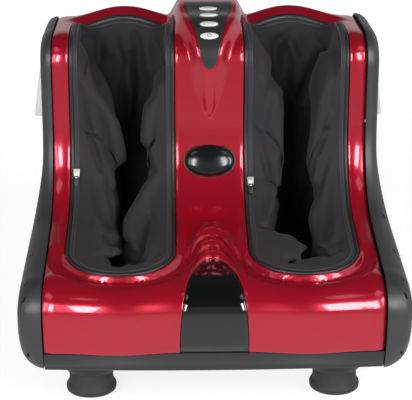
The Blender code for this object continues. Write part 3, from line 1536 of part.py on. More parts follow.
def make_paddles():
    """Four calf paddles: ring hubs on the balls, leaves with two raised massage nodes."""
    radius = BALL_RADIUS + PADDLE_BORE_GAP
    bore = rod(along_x(0, KNEAD_SHAFT_Y, KNEAD_SHAFT_Z), radius, -SHAFT_END - OVERRUN, SHAFT_END + OVERRUN)
    bore = helper("paddle_bore", bore)
    for side, label in SIDES:
        for x, place, towards in ((HUB_INNER_X, "inner", 1), (HUB_OUTER_X, "outer", -1)):
            centre = side * x
            shape = prism(paddle_outline(), centre - PADDLE_HALF_THICKNESS, centre + PADDLE_HALF_THICKNESS)
            axis = (centre, KNEAD_SHAFT_Y, KNEAD_SHAFT_Z)
            name = "_".join((label, place, "paddle"))
            paddle = add(name, shape, GREY_NYLON, axis)
            nodes = bmesh.new()
            facing = side * towards
            for y in NODE_REACHES:
                root = along_x(centre + facing * PADDLE_HALF_THICKNESS, y, KNEAD_SHAFT_Z)
                sink, rise = -facing * WALL / 2, facing * NODE_RISE
                turned([(NODE_RADIUS, sink), (NODE_RADIUS, 0), (NODE_RADIUS / 2, rise)], root, 9, nodes)
            boolean(paddle, helper(name + "_nodes", nodes), "UNION")
            boolean(paddle, bore)


# Foot rollers and their drive

ROLLER_SIDE_MARGIN = 0.0243
ROLLER_HALF_LENGTH = WELL_HALF_WIDTH - ROLLER_SIDE_MARGIN
ROLLER_RADIUS = 0.0105
ROLLER_KNOB = 0.0015
ROLLER_RINGS = 7
ROLLER_SEGMENTS = 10
PULLEY_X = 0.020
PULLEY_HALF_WIDTH = 0.005
PULLEY_RADIUS = 0.0085
BELT_THICKNESS = 0.0014
SHAFT_OVERHANG = 0.0555
SHAFT_HALF_LENGTH = WELL_CENTRE + SHAFT_OVERHANG
DRIVE_BOX_X = (-0.032, -0.006)
DRIVE_BOX_HALF_LENGTH = 0.016
DRIVE_BOX_TOP = 0.082
DRIVE_MOTOR_RADIUS = 0.0125
DRIVE_MOTOR_LENGTH = 0.046
SOLE_LOW = 0.0715
SOLE_INSET = 0.0135
SOLE_WINDOW_MARGIN = 0.0218
SOLE_WINDOW_HALF_LENGTH = WELL_HALF_WIDTH - SOLE_WINDOW_MARGIN
SOLE_WINDOW_HALF_WIDTH = 0.0150
SOLE_LEG_RADIUS = 0.004
SOLE_LEG_MARGIN = 0.0343
SOLE_LEG_X = WELL_HALF_WIDTH - SOLE_LEG_MARGIN
SOLE_LEG_REAR_MARGIN = 0.077
SOLE_LEG_Y = (-0.135, -0.032, WELL_REAR - SOLE_LEG_REAR_MARGIN)


def make_roller_shafts():
    for y, place in ((ROLLER_FRONT_Y, "front"), (ROLLER_REAR_Y, "rear")):
        profile = [
            (ROLLER_SHAFT_RADIUS, -SHAFT_HALF_LENGTH),
            (ROLLER_SHAFT_RADIUS, PULLEY_X - PULLEY_HALF_WIDTH),
            (PULLEY_RADIUS, PULLEY_X - PULLEY_HALF_WIDTH),
            (PULLEY_RADIUS, PULLEY_X + PULLEY_HALF_WIDTH),
            (ROLLER_SHAFT_RADIUS, PULLEY_X + PULLEY_HALF_WIDTH),
            (ROLLER_SHAFT_RADIUS, SHAFT_HALF_LENGTH),
        ]
        axis = (0, y, ROLLER_AXIS_Z)
        add(place + "_roller_shaft", turned(profile, along_x(*axis), SHAFT_SEGMENTS), STEEL, axis)
        for side, label in SIDES:
            add("_".join((place, label, "roller")), roller_shape(side, y), GREY_NYLON, axis)


def roller_shape(side, y):
    """A sleeve with staggered knobs that press up into the sole."""
    rings = []
    bore = ROLLER_SHAFT_RADIUS + FIT_GAP
    low = side * WELL_CENTRE - ROLLER_HALF_LENGTH
    for ring in range(ROLLER_RINGS):
        x = low + 2 * ROLLER_HALF_LENGTH * ring / (ROLLER_RINGS - 1)
        points = []
        for step in range(ROLLER_SEGMENTS):
            angle = 2 * math.pi * step / ROLLER_SEGMENTS
            knob = math.cos(3 * angle + math.pi * (ring // 2)) * math.sin(math.pi * ring / 2) ** 2
            radius = ROLLER_RADIUS + ROLLER_KNOB * knob
            points.append((x, radius, angle))
        rings.append(points)
    first = [(low, bore, angle) for _, _, angle in rings[0]]
    final = [(low + 2 * ROLLER_HALF_LENGTH, bore, angle) for _, _, angle in rings[0]]
    loops = [first] + rings + [final]
    placed = []
    for loop in loops:
        placed.append(
            [Vector((x, y + r * math.cos(a), ROLLER_AXIS_Z + r * math.sin(a))) for x, r, a in loop]
        )
    return endless(placed)


def stadium(radius, steps=8):
    """A loop round both roller shafts, as (y, z)."""
    points = []
    for centre, start in ((ROLLER_REAR_Y, -math.pi / 2), (ROLLER_FRONT_Y, math.pi / 2)):
        for step in range(steps + 1):
            angle = start + math.pi * step / steps
            points.append((centre + radius * math.cos(angle), ROLLER_AXIS_Z + radius * math.sin(angle)))
    return points


def make_roller_belt():
    loops = []
    low, high = PULLEY_X - PULLEY_HALF_WIDTH, PULLEY_X + PULLEY_HALF_WIDTH
    inner = PULLEY_RADIUS + FIT_GAP
    outer = inner + BELT_THICKNESS
    for radius, x in ((inner, low), (inner, high), (outer, high), (outer, low)):
        loops.append([Vector((x, y, z)) for y, z in stadium(radius)])
    return add("roller_belt", endless(loops), RUBBER)


def make_roller_drive():
    low = CHASSIS_TOP + FIT_GAP
    gearbox = add(
        "roller_gearbox",
        box(
            (DRIVE_BOX_X[0], ROLLER_REAR_Y - DRIVE_BOX_HALF_LENGTH, low),
            (DRIVE_BOX_X[1], ROLLER_REAR_Y + DRIVE_BOX_HALF_LENGTH, DRIVE_BOX_TOP),
        ),
        GREY_NYLON,
    )
    soften(gearbox, WALL / 2, 1)
    bore = rod(
        along_x(0, ROLLER_REAR_Y, ROLLER_AXIS_Z), ROLLER_SHAFT_RADIUS + BORE_GAP,
        DRIVE_BOX_X[0] - OVERRUN, DRIVE_BOX_X[1] + OVERRUN, SHAFT_SEGMENTS,
    )
    boolean(gearbox, helper("roller_gearbox_bore", bore))
    bottom = DRIVE_BOX_TOP + FIT_GAP
    middle = (DRIVE_BOX_X[0] + DRIVE_BOX_X[1]) / 2
    motor = turned(
        [
            (DRIVE_MOTOR_RADIUS, bottom), (DRIVE_MOTOR_RADIUS, bottom + DRIVE_MOTOR_LENGTH),
            (DRIVE_MOTOR_RADIUS / 2, bottom + DRIVE_MOTOR_LENGTH),
            (DRIVE_MOTOR_RADIUS / 2, bottom + DRIVE_MOTOR_LENGTH + MOTOR_CAP),
        ],
        upright(middle, ROLLER_REAR_Y),
    )
    add("roller_motor", motor, STEEL)


def make_sole_plate(side, label):
    """A plate under each foot lining with windows for the rollers, on six legs."""
    plan = well_plan(side, SOLE_INSET)
    plate = add(label + "_sole_plate", column(plan, SOLE_LOW, SOLE_LOW + WALL), GREY_NYLON)
    windows = bmesh.new()
    for y in (ROLLER_FRONT_Y, ROLLER_REAR_Y):
        box(
            (side * WELL_CENTRE - SOLE_WINDOW_HALF_LENGTH, y - SOLE_WINDOW_HALF_WIDTH, SOLE_LOW - WALL),
            (side * WELL_CENTRE + SOLE_WINDOW_HALF_LENGTH, y + SOLE_WINDOW_HALF_WIDTH, SOLE_LOW + WALL * 2),
            windows,
        )
    boolean(plate, helper(label + "_sole_windows", windows))
    legs = bmesh.new()
    for y in SOLE_LEG_Y:
        for end in (-1, 1):
            x = side * WELL_CENTRE + end * SOLE_LEG_X
            rod(upright(x, y), SOLE_LEG_RADIUS, CHASSIS_TOP + FIT_GAP, SOLE_LOW + WALL / 2, 8, legs)
    boolean(plate, helper(label + "_sole_legs", legs), "UNION")
    return plate


def make_all():
    make_front_shell()
    make_nose_cover()
    make_base_tray()
    make_feet()
    make_rear_cover()
    make_rear_screws()
    make_power_inlet()
    make_power_rocker()
    make_control_plate()
    make_buttons()
    make_oval_lens()
    make_button_board()
    make_chassis()
    make_power_board()
    make_knead_shaft()
    make_knead_drive()
    make_paddles()
    make_roller_shafts()
    make_roller_belt()
    make_roller_drive()
    for side, label in SIDES:
        make_side_panel(side, label)
        make_grip(side, label)
        make_collar(side, label)
        make_zip(side, label)
        make_slider(side, label)
        make_pull(side, label)
        make_liner(side, label)
        make_sole_plate(side, label)


make_all()
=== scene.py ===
"""Looks of a foot and calf massager, built round its CAD frame. Metres, toe towards -Y, +Z up."""

import bisect
import math

import bmesh
import bpy
from mathutils import Matrix, Vector, noise


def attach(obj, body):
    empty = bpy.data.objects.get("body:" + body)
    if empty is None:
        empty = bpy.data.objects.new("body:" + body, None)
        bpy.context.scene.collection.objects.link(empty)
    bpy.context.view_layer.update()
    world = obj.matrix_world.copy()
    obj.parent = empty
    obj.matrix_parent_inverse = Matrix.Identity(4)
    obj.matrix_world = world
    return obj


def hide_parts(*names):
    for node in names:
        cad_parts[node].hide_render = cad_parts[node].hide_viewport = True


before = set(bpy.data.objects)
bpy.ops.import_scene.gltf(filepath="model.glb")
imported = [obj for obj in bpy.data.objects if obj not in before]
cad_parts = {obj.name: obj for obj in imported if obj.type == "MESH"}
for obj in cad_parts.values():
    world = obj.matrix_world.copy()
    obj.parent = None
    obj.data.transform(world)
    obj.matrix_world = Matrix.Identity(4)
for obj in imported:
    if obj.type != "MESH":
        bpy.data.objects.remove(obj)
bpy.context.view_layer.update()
SIDES = ((-1, "left"), (1, "right"))


# Front shell: one glossy red ABS moulding over toe, deck, shin face and top. It is injection
# moulded and left as it comes from a polished tool, with rolled rims round both wells, three
# rolled arches over the nose, and a console that rises out of the shin face.

# Outline of the moulding in the Y-Z plane, the same as the frame's
TRAY_BOTTOM, SEAM_HEIGHT = 0.045, 0.0695
TRAY_FRONT_REACH, TRAY_REAR_REACH = 0.192, 0.198
NOSE_REACH, NOSE_HEIGHT = 0.215, 0.115
DECK_START_REACH, DECK_SLOPE = 0.165, math.radians(10.5)
BEND_RADIUS, BEND_HEIGHT = 0.098, 0.268
CALF_FRONT, CALF_FRONT_TOP = 0.024, 0.340
TOP_HEIGHT, TOP_FRONT, TOP_REAR = 0.379, 0.075, 0.126
REAR_REACH, REAR_SHOULDER, REAR_WAIST = 0.215, 0.300, 0.100
SHELL_REAR_HEIGHT = 0.355
SEAM_HALF_WIDTH = 0.1916


def quarter(centre, half, start, end, power=2.0, steps=48):
    """Points of a superellipse between two angles in degrees, seen along X."""
    points = []
    for step in range(steps + 1):
        angle = math.radians(start + (end - start) * step / steps)
        across, up = math.cos(angle), math.sin(angle)
        points.append((
            centre[0] + half[0] * math.copysign(abs(across) ** (2 / power), across),
            centre[1] + half[1] * math.copysign(abs(up) ** (2 / power), up),
        ))
    return points


BEND_Y = CALF_FRONT - BEND_RADIUS
DECK_END = (BEND_Y + BEND_RADIUS * math.sin(DECK_SLOPE), BEND_HEIGHT - BEND_RADIUS * math.cos(DECK_SLOPE))
DECK_START_HEIGHT = DECK_END[1] - (DECK_END[0] + DECK_START_REACH) * math.tan(DECK_SLOPE)
STRETCHES = (
    ("foot", quarter((-TRAY_FRONT_REACH, NOSE_HEIGHT),
                     (NOSE_REACH - TRAY_FRONT_REACH, NOSE_HEIGHT - TRAY_BOTTOM), 270, 180)),
    ("toe", quarter((-DECK_START_REACH, NOSE_HEIGHT),
                    (NOSE_REACH - DECK_START_REACH, DECK_START_HEIGHT - NOSE_HEIGHT), 180, 90)),
    ("deck", [DECK_END]),
    ("bend", quarter((BEND_Y, BEND_HEIGHT), (BEND_RADIUS, BEND_RADIUS),
                     math.degrees(DECK_SLOPE) - 90, 0)),
    ("calf_front", [(CALF_FRONT, CALF_FRONT_TOP)]),
    ("top_corner", quarter((TOP_FRONT, CALF_FRONT_TOP),
                           (TOP_FRONT - CALF_FRONT, TOP_HEIGHT - CALF_FRONT_TOP), 180, 90, 2.4)),
    ("top", [(TOP_REAR, TOP_HEIGHT)]),
    ("rear_corner", quarter((TOP_REAR, REAR_SHOULDER),
                            (REAR_REACH - TOP_REAR, TOP_HEIGHT - REAR_SHOULDER), 90, 0, 3.2)),
    ("rear", [(REAR_REACH, REAR_WAIST)]),
    ("rear_foot", quarter((TRAY_REAR_REACH, REAR_WAIST),
                          (REAR_REACH - TRAY_REAR_REACH, REAR_WAIST - TRAY_BOTTOM), 0, -90)),
)
OUTLINE, ALONG, END = [], [0.0], {}
for name, run in STRETCHES:
    for point in run:
        if not OUTLINE:
            OUTLINE.append(point)
        elif math.dist(point, OUTLINE[-1]) > 0.0002:
            ALONG.append(ALONG[-1] + math.dist(point, OUTLINE[-1]))
            OUTLINE.append(point)
    END[name] = ALONG[-1]
OUTWARD = []
for index in range(len(OUTLINE)):
    before = Vector(OUTLINE[max(index - 1, 0)])
    after = Vector(OUTLINE[min(index + 1, len(OUTLINE) - 1)])
    run = (after - before).normalized()
    OUTWARD.append(Vector((-run.y, run.x)))


def outline_at(along):
    """The outline's point and outward normal at a distance along it."""
    index = min(max(bisect.bisect_right(ALONG, along), 1), len(ALONG) - 1)
    share = (along - ALONG[index - 1]) / (ALONG[index] - ALONG[index - 1])
    point = Vector(OUTLINE[index - 1]).lerp(Vector(OUTLINE[index]), share)
    return point, OUTWARD[index - 1].lerp(OUTWARD[index], share).normalized()


def along_at(value, axis, first, last):
    """Where the outline passes a y (axis 0) or a z (axis 1) between two distances along it."""
    rising = outline_at(last)[0][axis] > outline_at(first)[0][axis]
    for _ in range(26):
        middle = (first + last) / 2
        if (outline_at(middle)[0][axis] < value) == rising:
            first = middle
        else:
            last = middle
    return (first + last) / 2


SEAM_ALONG = along_at(SEAM_HEIGHT, 1, 0, END["foot"])
SHELL_END = along_at(SHELL_REAR_HEIGHT, 1, END["top"], END["rear_corner"])


def ease(share):
    share = min(max(share, 0.0), 1.0)
    return share * share * (3 - 2 * share)


def flowing(knots, values, at):
    """Reads a short table with a smooth curve that never overshoots."""
    if at <= knots[0]:
        return values[0]
    if at >= knots[-1]:
        return values[-1]
    slopes = [(values[i + 1] - values[i]) / (knots[i + 1] - knots[i]) for i in range(len(knots) - 1)]
    tangents = [0.0 if i in (0, len(slopes)) or slopes[i - 1] * slopes[i] <= 0
                else 2 * slopes[i - 1] * slopes[i] / (slopes[i - 1] + slopes[i])
                for i in range(len(knots))]
    i = bisect.bisect_right(knots, at) - 1
    width = knots[i + 1] - knots[i]
    t = (at - knots[i]) / width
    return (values[i] * (1 + 2 * t) * (1 - t) ** 2 + values[i + 1] * t * t * (3 - 2 * t)
            + width * (tangents[i] * t * (1 - t) ** 2 - tangents[i + 1] * t * t * (1 - t)))


# Console: its plate is wide on top, draws in below the keys and ends in a round tip
PLATE_START = END["calf_front"] + 0.001
PLATE_END = END["top_corner"] + (END["top"] - END["top_corner"]) * 0.72
PLATE_KNOTS = (0.0, 0.035, 0.12, 0.30, 0.45, 0.62, 0.85, 1.0)
PLATE_WIDTHS = (0.0, 0.0058, 0.0102, 0.0158, 0.0203, 0.0238, 0.0290, 0.0305)


def plate_half_width(along):
    return flowing(PLATE_KNOTS, PLATE_WIDTHS, (along - PLATE_START) / (PLATE_END - PLATE_START))


KEEL_START = END["bend"] + 0.009
RISE_KNOTS = (KEEL_START, KEEL_START + 0.006, END["calf_front"] - 0.032, END["calf_front"] - 0.014,
              END["calf_front"] + 0.015, END["top_corner"], END["top"],
              END["top"] + (SHELL_END - END["top"]) * 0.55, SHELL_END)
RISES = (0.0, 0.0008, 0.0043, 0.0069, 0.0110, 0.0180, 0.0262, 0.0200, 0.0)
RIDGE_WIDTHS = (0.0018, 0.0024, 0.0050, 0.0068, 0.0125, 0.032, 0.035, 0.034, 0.030)
FLANK_WIDTHS = (0.0016, 0.0030, 0.0086, 0.0127, 0.0125, 0.0150, 0.0170, 0.0180, 0.0180)


def console_rise(along, x):
    """A ridge with a flat crown and sloping flanks, which runs down the shin face as a V-shaped keel."""
    rise = flowing(RISE_KNOTS, RISES, along)
    if rise <= 0:
        return 0.0
    flat = flowing(RISE_KNOTS, RIDGE_WIDTHS, along)
    flank = flowing(RISE_KNOTS, FLANK_WIDTHS, along)
    share = min(max(1 - (abs(x) - flat) / flank, 0.0), 1.0)
    soft = ease((along - END["calf_front"]) / 0.020)
    return rise * (share + (ease(share) - share) * soft)


# Wells, their raised backs and toe caps
WELL_CENTRE, WELL_HALF_WIDTH, WELL_END_DEPTH = 0.1065, 0.0643, 0.056
WELL_TOE_REACH, WELL_REAR, WELL_FLOOR = 0.175, 0.162, 0.0795
TOE_CENTRE_Y, REAR_CENTRE_Y = -WELL_TOE_REACH + WELL_END_DEPTH, WELL_REAR - WELL_END_DEPTH


def bump(x, half_width):
    return math.cos(min(abs(abs(x) - WELL_CENTRE) / half_width, 1.0) * math.pi / 2) ** 2


CREST_ALONG = along_at(REAR_REACH - 0.041, 0, END["top"], END["rear_corner"])
TOE_FOLD = along_at(0.122, 1, END["foot"], END["toe"])


def moulding_rise(along, x):
    """A crest behind each calf, a soft cap over each toe and a fold across the front."""
    crest = flowing((END["calf_front"], END["top_corner"], END["top"], CREST_ALONG, SHELL_END),
                    (0.0, 0.005, 0.0075, 0.0135, 0.0), along)
    toe = 0.7 + 0.3 * ease((along - SEAM_ALONG) / (END["foot"] - SEAM_ALONG))
    toe *= ease((END["toe"] - along) / (END["toe"] - END["foot"]))
    fold = max(0.0, 1 - abs(along - TOE_FOLD) / 0.028) * (0.0012 + 0.0018 * bump(x, 0.085))
    fold *= ease((SEAM_HALF_WIDTH - abs(x)) / 0.025)
    return crest * bump(x, 0.072) + 0.006 * toe * bump(x, 0.070) + fold


def well_distance(x, y):
    """Roughly how far a point lies outside the edge of the nearer well, in metres."""
    across = abs(abs(x) - WELL_CENTRE)
    if TOE_CENTRE_Y <= y <= REAR_CENTRE_Y:
        return across - WELL_HALF_WIDTH
    past = TOE_CENTRE_Y - y if y < TOE_CENTRE_Y else y - REAR_CENTRE_Y
    reach = math.hypot(across / WELL_HALF_WIDTH, past / WELL_END_DEPTH)
    return (reach - 1) * math.hypot(across, past) / max(reach, 0.001)


def lip_drop(along, x):
    """A steep facet round each toe end with a crisp foot, soft rims, and a roll off the crest."""
    y = outline_at(along)[0].x
    distance = max(well_distance(x, y), 0.0)
    if distance > 0.034:
        return 0.0
    facing = ease((TOE_CENTRE_Y + 0.016 - y) / 0.040)
    foot = 0.0080 - 0.003 * ease(abs(x) / 0.05 - 0.9)
    steep = distance / foot if distance < foot else ease(1 - (distance - foot) / 0.024)
    crescent = 0.0088 * steep * facing
    rim = max(0.0, 1 - distance / 0.006) ** 2 * 0.0012
    facing = ease((y - REAR_CENTRE_Y) / (0.7 * WELL_END_DEPTH)) if along > END["calf_front"] else 0.0
    return crescent + rim + 0.009 * facing * ease(1 - distance / 0.014)


# Nose window and rolled arches: bands between nested half ellipses that share a root at the seam
NOSE_HALF_WIDTH = 0.0386
APEXES = [along_at(-reach, 0, END["foot"], END["bend"]) - SEAM_ALONG
          for reach in (0.142, 0.118, 0.093, 0.054)]


def arch_rise(along, x):
    reach = along - SEAM_ALONG
    if reach <= 0 or along > END["bend"]:
        return 0.0
    length = reach
    for _ in range(8):
        half_width = NOSE_HALF_WIDTH + 0.0046 * (length - APEXES[0]) / (APEXES[-1] - APEXES[0])
        if abs(x) >= half_width:
            return 0.0
        inside = 1 - (x / half_width) ** 2
        length = reach / math.sqrt(inside)
    steep = math.hypot(inside ** -0.5, reach * x / half_width ** 2 * inside ** -1.5)
    for near, far in zip(APEXES, APEXES[1:]):
        if near < length < far:
            roll = math.sin(math.pi * ((length - near) / (far - near)) ** 0.8) ** 0.65
            return 0.0060 * roll * min((far - near) / steep / 0.014, 1.0) * ease(reach / 0.03)
    return 0.0


def side_roll(x):
    """The shell's long edges roll down towards the side panels."""
    return 0.0026 * max(0.0, (abs(x) - 0.177) / (SEAM_HALF_WIDTH - 0.177)) ** 2


def skin(along, x, lift=0.0):
    """A point over the moulded surface, lifted off it along its normal."""
    point, normal = outline_at(along)
    rise = lift + console_rise(along, x) + moulding_rise(along, x) + arch_rise(along, x)
    rise -= lip_drop(along, x) + side_roll(x)
    return Vector((x, point.x + normal.x * rise, point.y + normal.y * rise))


def skin_frame(along, x, lift=0.0):
    """A matrix at a skin point: X across, Y up along the surface, Z out of it."""
    up = (skin(along + 0.0003, x, lift) - skin(along - 0.0003, x, lift)).normalized()
    across = Vector((1, 0, 0))
    rotation = Matrix((across, up, across.cross(up))).transposed().to_4x4()
    return Matrix.Translation(skin(along, x, lift)) @ rotation


def spread(stops, pitch):
    """Places from the first stop to the last, evenly spaced between stops."""
    places = [stops[0]]
    for low, high in zip(stops, stops[1:]):
        count = max(round((high - low) / pitch), 1)
        places += [low + (high - low) * step / count for step in range(1, count + 1)]
    return places


def linear(colour):
    """An sRGB hex colour as linear red, green, blue and alpha."""
    parts = [int(colour[i:i + 2], 16) / 255 for i in (1, 3, 5)]
    return (*[p / 12.92 if p <= 0.04045 else ((p + 0.055) / 1.055) ** 2.4 for p in parts], 1.0)


def add_node(material, kind, inputs=(), **settings):
    """Adds a node; inputs gives its sockets a value or what feeds them."""
    tree = material.node_tree
    made = tree.nodes.new("ShaderNode" + kind)
    for name, value in settings.items():
        setattr(made, name, value)
    for name, value in dict(inputs).items():
        if isinstance(value, bpy.types.NodeSocket):
            tree.links.new(value, made.inputs[name])
        else:
            made.inputs[name].default_value = value
    return made


def new_material(name, colour, roughness, **sockets):
    """A Principled material. Returns it and its shader."""
    material = bpy.data.materials.new(name)
    material.use_nodes = True
    shader = material.node_tree.nodes["Principled BSDF"]
    shader.inputs["Base Color"].default_value = linear(colour)
    shader.inputs["Roughness"].default_value = roughness
    for socket, value in sockets.items():
        shader.inputs[socket.replace("_", " ")].default_value = value
    return material, shader


def link(material, output, shader, socket):
    material.node_tree.links.new(output, shader.inputs[socket])


def mottle(material, shader, scale, colours, roughness=None, bump=None, detail=3.0):
    """Varies colour, roughness and height with one noise: what every moulded surface has."""
    place = add_node(material, "TexCoord").outputs["Object"]
    pattern = add_node(material, "TexNoise", {"Vector": place, "Scale": scale, "Detail": detail})
    ramp = add_node(material, "ValToRGB", {"Fac": pattern.outputs["Fac"]})
    for element, colour in zip(ramp.color_ramp.elements, colours):
        element.color = linear(colour)
    ramp.color_ramp.elements[0].position, ramp.color_ramp.elements[1].position = 0.3, 0.7
    link(material, ramp.outputs["Color"], shader, "Base Color")
    if roughness:
        spread_out = add_node(material, "MapRange", {
            "Value": pattern.outputs["Fac"], "From Min": 0.3, "From Max": 0.7,
            "To Min": roughness[0], "To Max": roughness[1]})
        link(material, spread_out.outputs["Result"], shader, "Roughness")
    if bump:
        fine = add_node(material, "TexNoise", {"Vector": place, "Scale": bump[0], "Detail": 2.0})
        height = add_node(material, "Bump", {
            "Height": fine.outputs["Fac"], "Strength": bump[1], "Distance": bump[2]})
        link(material, height.outputs["Normal"], shader, "Normal")
    return material


# Gloss ABS off a polished tool: deep red with a fine metallic flake under a clear gloss, the slight
# waviness of a thin moulding, and faint rub marks that dull it here and there
RED_GLOSS = mottle(*new_material("red_gloss_abs", "#BC0B28", 0.30, IOR=1.54, Metallic=0.35,
                                 Coat_Weight=0.75, Coat_Roughness=0.03,
                                 Specular_Tint=(1.0, 0.55, 0.72, 1.0)),
                   6.0, ("#AE0A24", "#B30A27"), (0.225, 0.245), (220.0, 0.05, 0.0004))


def only(piece):
    """Selects one piece alone and makes it active."""
    for other in bpy.context.selected_objects:
        other.select_set(False)
    piece.select_set(True)
    bpy.context.view_layer.objects.active = piece
    return piece


def start(name, primitive, **settings):
    """A primitive under its own name, with nothing else selected."""
    for other in bpy.context.selected_objects:
        other.select_set(False)
    getattr(bpy.ops.mesh, "primitive_" + primitive + "_add")(**settings)
    piece = bpy.context.object
    piece.name = piece.data.name = name
    return piece


def modify(piece, kind, **settings):
    """Adds a modifier and applies it."""
    only(piece)
    modifier = piece.modifiers.new(kind.lower(), kind)
    for name, value in settings.items():
        setattr(modifier, name, value)
    bpy.ops.object.modifier_apply(modifier=modifier.name)
    return piece


def block(name, place, bevel=0.0, segments=3):
    """A unit cube put in place by a matrix, with its edges rounded."""
    made = start(name, "cube", size=1)
    made.data.transform(place)
    return modify(made, "BEVEL", width=bevel, segments=segments) if bevel else made


def dress(piece, material, body="housing", replaced=(), angle=40):
    """Gives a finished piece its material, shading and body, and hides the frame's pieces that it replaces.
    """
    piece.data.materials.clear()
    piece.data.materials.append(material)
    only(piece)
    bpy.ops.object.shade_smooth_by_angle(angle=math.radians(angle))
    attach(piece, body)
    if replaced:
        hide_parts(*replaced)
    return piece


def opened(piece):
    """A piece's mesh, opened for editing."""
    shape = bmesh.new()
    shape.from_mesh(piece.data)
    shape.verts.ensure_lookup_table()
    return shape


def closed(shape, piece):
    """Points all faces outwards and writes the mesh back."""
    bmesh.ops.recalc_face_normals(shape, faces=shape.faces)
    shape.to_mesh(piece.data)
    shape.free()


def recalculated(piece):
    """Merges doubles and points all faces outwards."""
    shape = opened(piece)
    bmesh.ops.remove_doubles(shape, verts=shape.verts, dist=0.00002)
    closed(shape, piece)
    return piece


# The shell's grid has a turned edge all round; its wells and nose window are cut in the grid,
# and the cut edges are drawn onto the real rims before they are rolled over
RIM_OUT = 0.0016
EDGE_TURN = ((0.0012, 0.0), (0.0007, 0.0001), (0.0003, 0.0004), (0.0, 0.0010), (0.0, 0.0045))
SHELL_EDGE = SEAM_HALF_WIDTH - 0.0003
LENS_PLACE = skin_frame(END["bend"] - BEND_RADIUS * math.radians(25), 0)


def turned_edge(places):
    """Places with the turned edge added at both ends, each with how deep it lies."""
    low, high = places[0], places[-1]
    ends = [(low + out, deep) for out, deep in reversed(EDGE_TURN)]
    starts = [(high - out, deep) for out, deep in EDGE_TURN]
    inner = [(at, 0.0) for at in places if low + 0.0025 < at < high - 0.0025]
    return ends + inner + starts


def window_edge(x, along, out=0.0):
    """(reach, nearest edge point) of the nose window in x and along: below 1 is inside."""
    past = max(along - SEAM_ALONG, 0.0)
    reach = math.hypot(x / (NOSE_HALF_WIDTH + 0.0009 + out), past / (APEXES[0] + 0.0012 + out))
    if reach < 0.001:
        return 0.0, (x, along)
    return reach, (x / reach, SEAM_ALONG + past / reach if past else along)


def opening_edge(side, x, y, out):
    """(reach, nearest edge point) of a well in x and y: below 1 is inside."""
    half, depth, centre = WELL_HALF_WIDTH + out, WELL_END_DEPTH + out, side * WELL_CENTRE
    centre_y = min(max(y, TOE_CENTRE_Y), REAR_CENTRE_Y)
    dy = y - centre_y
    reach = math.hypot((x - centre) / half, dy / depth)
    if reach < 0.001:
        return 0.0, (x, y)
    edge_y = centre_y + dy / reach if dy else y
    return reach, (centre + (x - centre) / reach, edge_y)


def drawn_along(y, near):
    """The distance along the outline at a y, on the deck side or on the top side."""
    if y < CALF_FRONT - 0.02 and near < END["bend"]:
        return along_at(y, 0, END["foot"], END["bend"])
    return along_at(y, 0, END["top_corner"], END["rear_corner"])


inner, outer = WELL_CENTRE - WELL_HALF_WIDTH - RIM_OUT, WELL_CENTRE + WELL_HALF_WIDTH + RIM_OUT
columns = spread((0.0, inner), 0.0015) + spread((inner, outer, SHELL_EDGE), 0.0022)[1:]
columns = turned_edge([-x for x in reversed(columns[1:])] + columns)
rows = spread((SEAM_ALONG + 0.0003, END["foot"], TOE_FOLD, END["toe"], END["deck"], END["bend"]), 0.0018)
rows = turned_edge(rows + spread((END["bend"], END["calf_front"], END["top_corner"], END["top"], CREST_ALONG,
                                  SHELL_END), 0.0022)[1:])
shell = start("front_shell_skin", "grid", x_subdivisions=len(columns) - 1,
              y_subdivisions=len(rows) - 1, size=1)
shape = opened(shell)
places = {}
for index, vertex in enumerate(shape.verts):
    (x, x_deep), (along, along_deep) = columns[index % len(columns)], rows[index // len(columns)]
    places[vertex] = [along, x, max(x_deep, along_deep)]


def is_cut(face):
    along = sum(places[v][0] for v in face.verts) / len(face.verts)
    x = sum(places[v][1] for v in face.verts) / len(face.verts)
    y = outline_at(along)[0].x
    if along < END["deck"] and window_edge(x, along)[0] < 1:
        return True
    return along > END["foot"] and any(opening_edge(side, x, y, RIM_OUT)[0] < 1 for side, _ in SIDES)


bmesh.ops.delete(shape, geom=[face for face in shape.faces if is_cut(face)], context="FACES")
rims = {"nose": [], -1: [], 1: []}
for vertex in shape.verts:
    along, x, deep = places[vertex]
    if not vertex.is_boundary or deep > 0.004:
        continue
    y = outline_at(along)[0].x
    at_nose = y < -0.1 and (abs(x) < 0.030 or (y < -0.145 and abs(x) < 0.044))
    kind = "nose" if at_nose else (-1 if x < 0 else 1)
    rims[kind].append(vertex)
    if kind == "nose":
        new_x, along = window_edge(x, along)[1]
    else:
        new_x, new_y = opening_edge(kind, x, y, RIM_OUT)[1]
        if abs(new_y - y) > 0.00001:
            along = drawn_along(new_y, along)
    places[vertex] = [along, new_x, 0.0]
near = {vertex for group in rims.values() for vertex in group}
fixed = set(near)
for _ in range(3):
    near |= {edge.other_vert(vertex) for vertex in near for edge in vertex.link_edges}
for _ in range(5):
    moved = {}
    for vertex in near - fixed:
        if vertex.is_boundary or places[vertex][2] > 0:
            continue
        around = [edge.other_vert(vertex) for edge in vertex.link_edges]
        moved[vertex] = [sum(places[v][k] for v in around) / len(around) for k in (0, 1)]
    for vertex, (along, x) in moved.items():
        places[vertex][0] += (along - places[vertex][0]) * 0.5
        places[vertex][1] += (x - places[vertex][1]) * 0.5
for vertex, (along, x, deep) in places.items():
    if vertex.is_valid:
        vertex.co = skin(along, x, -deep)

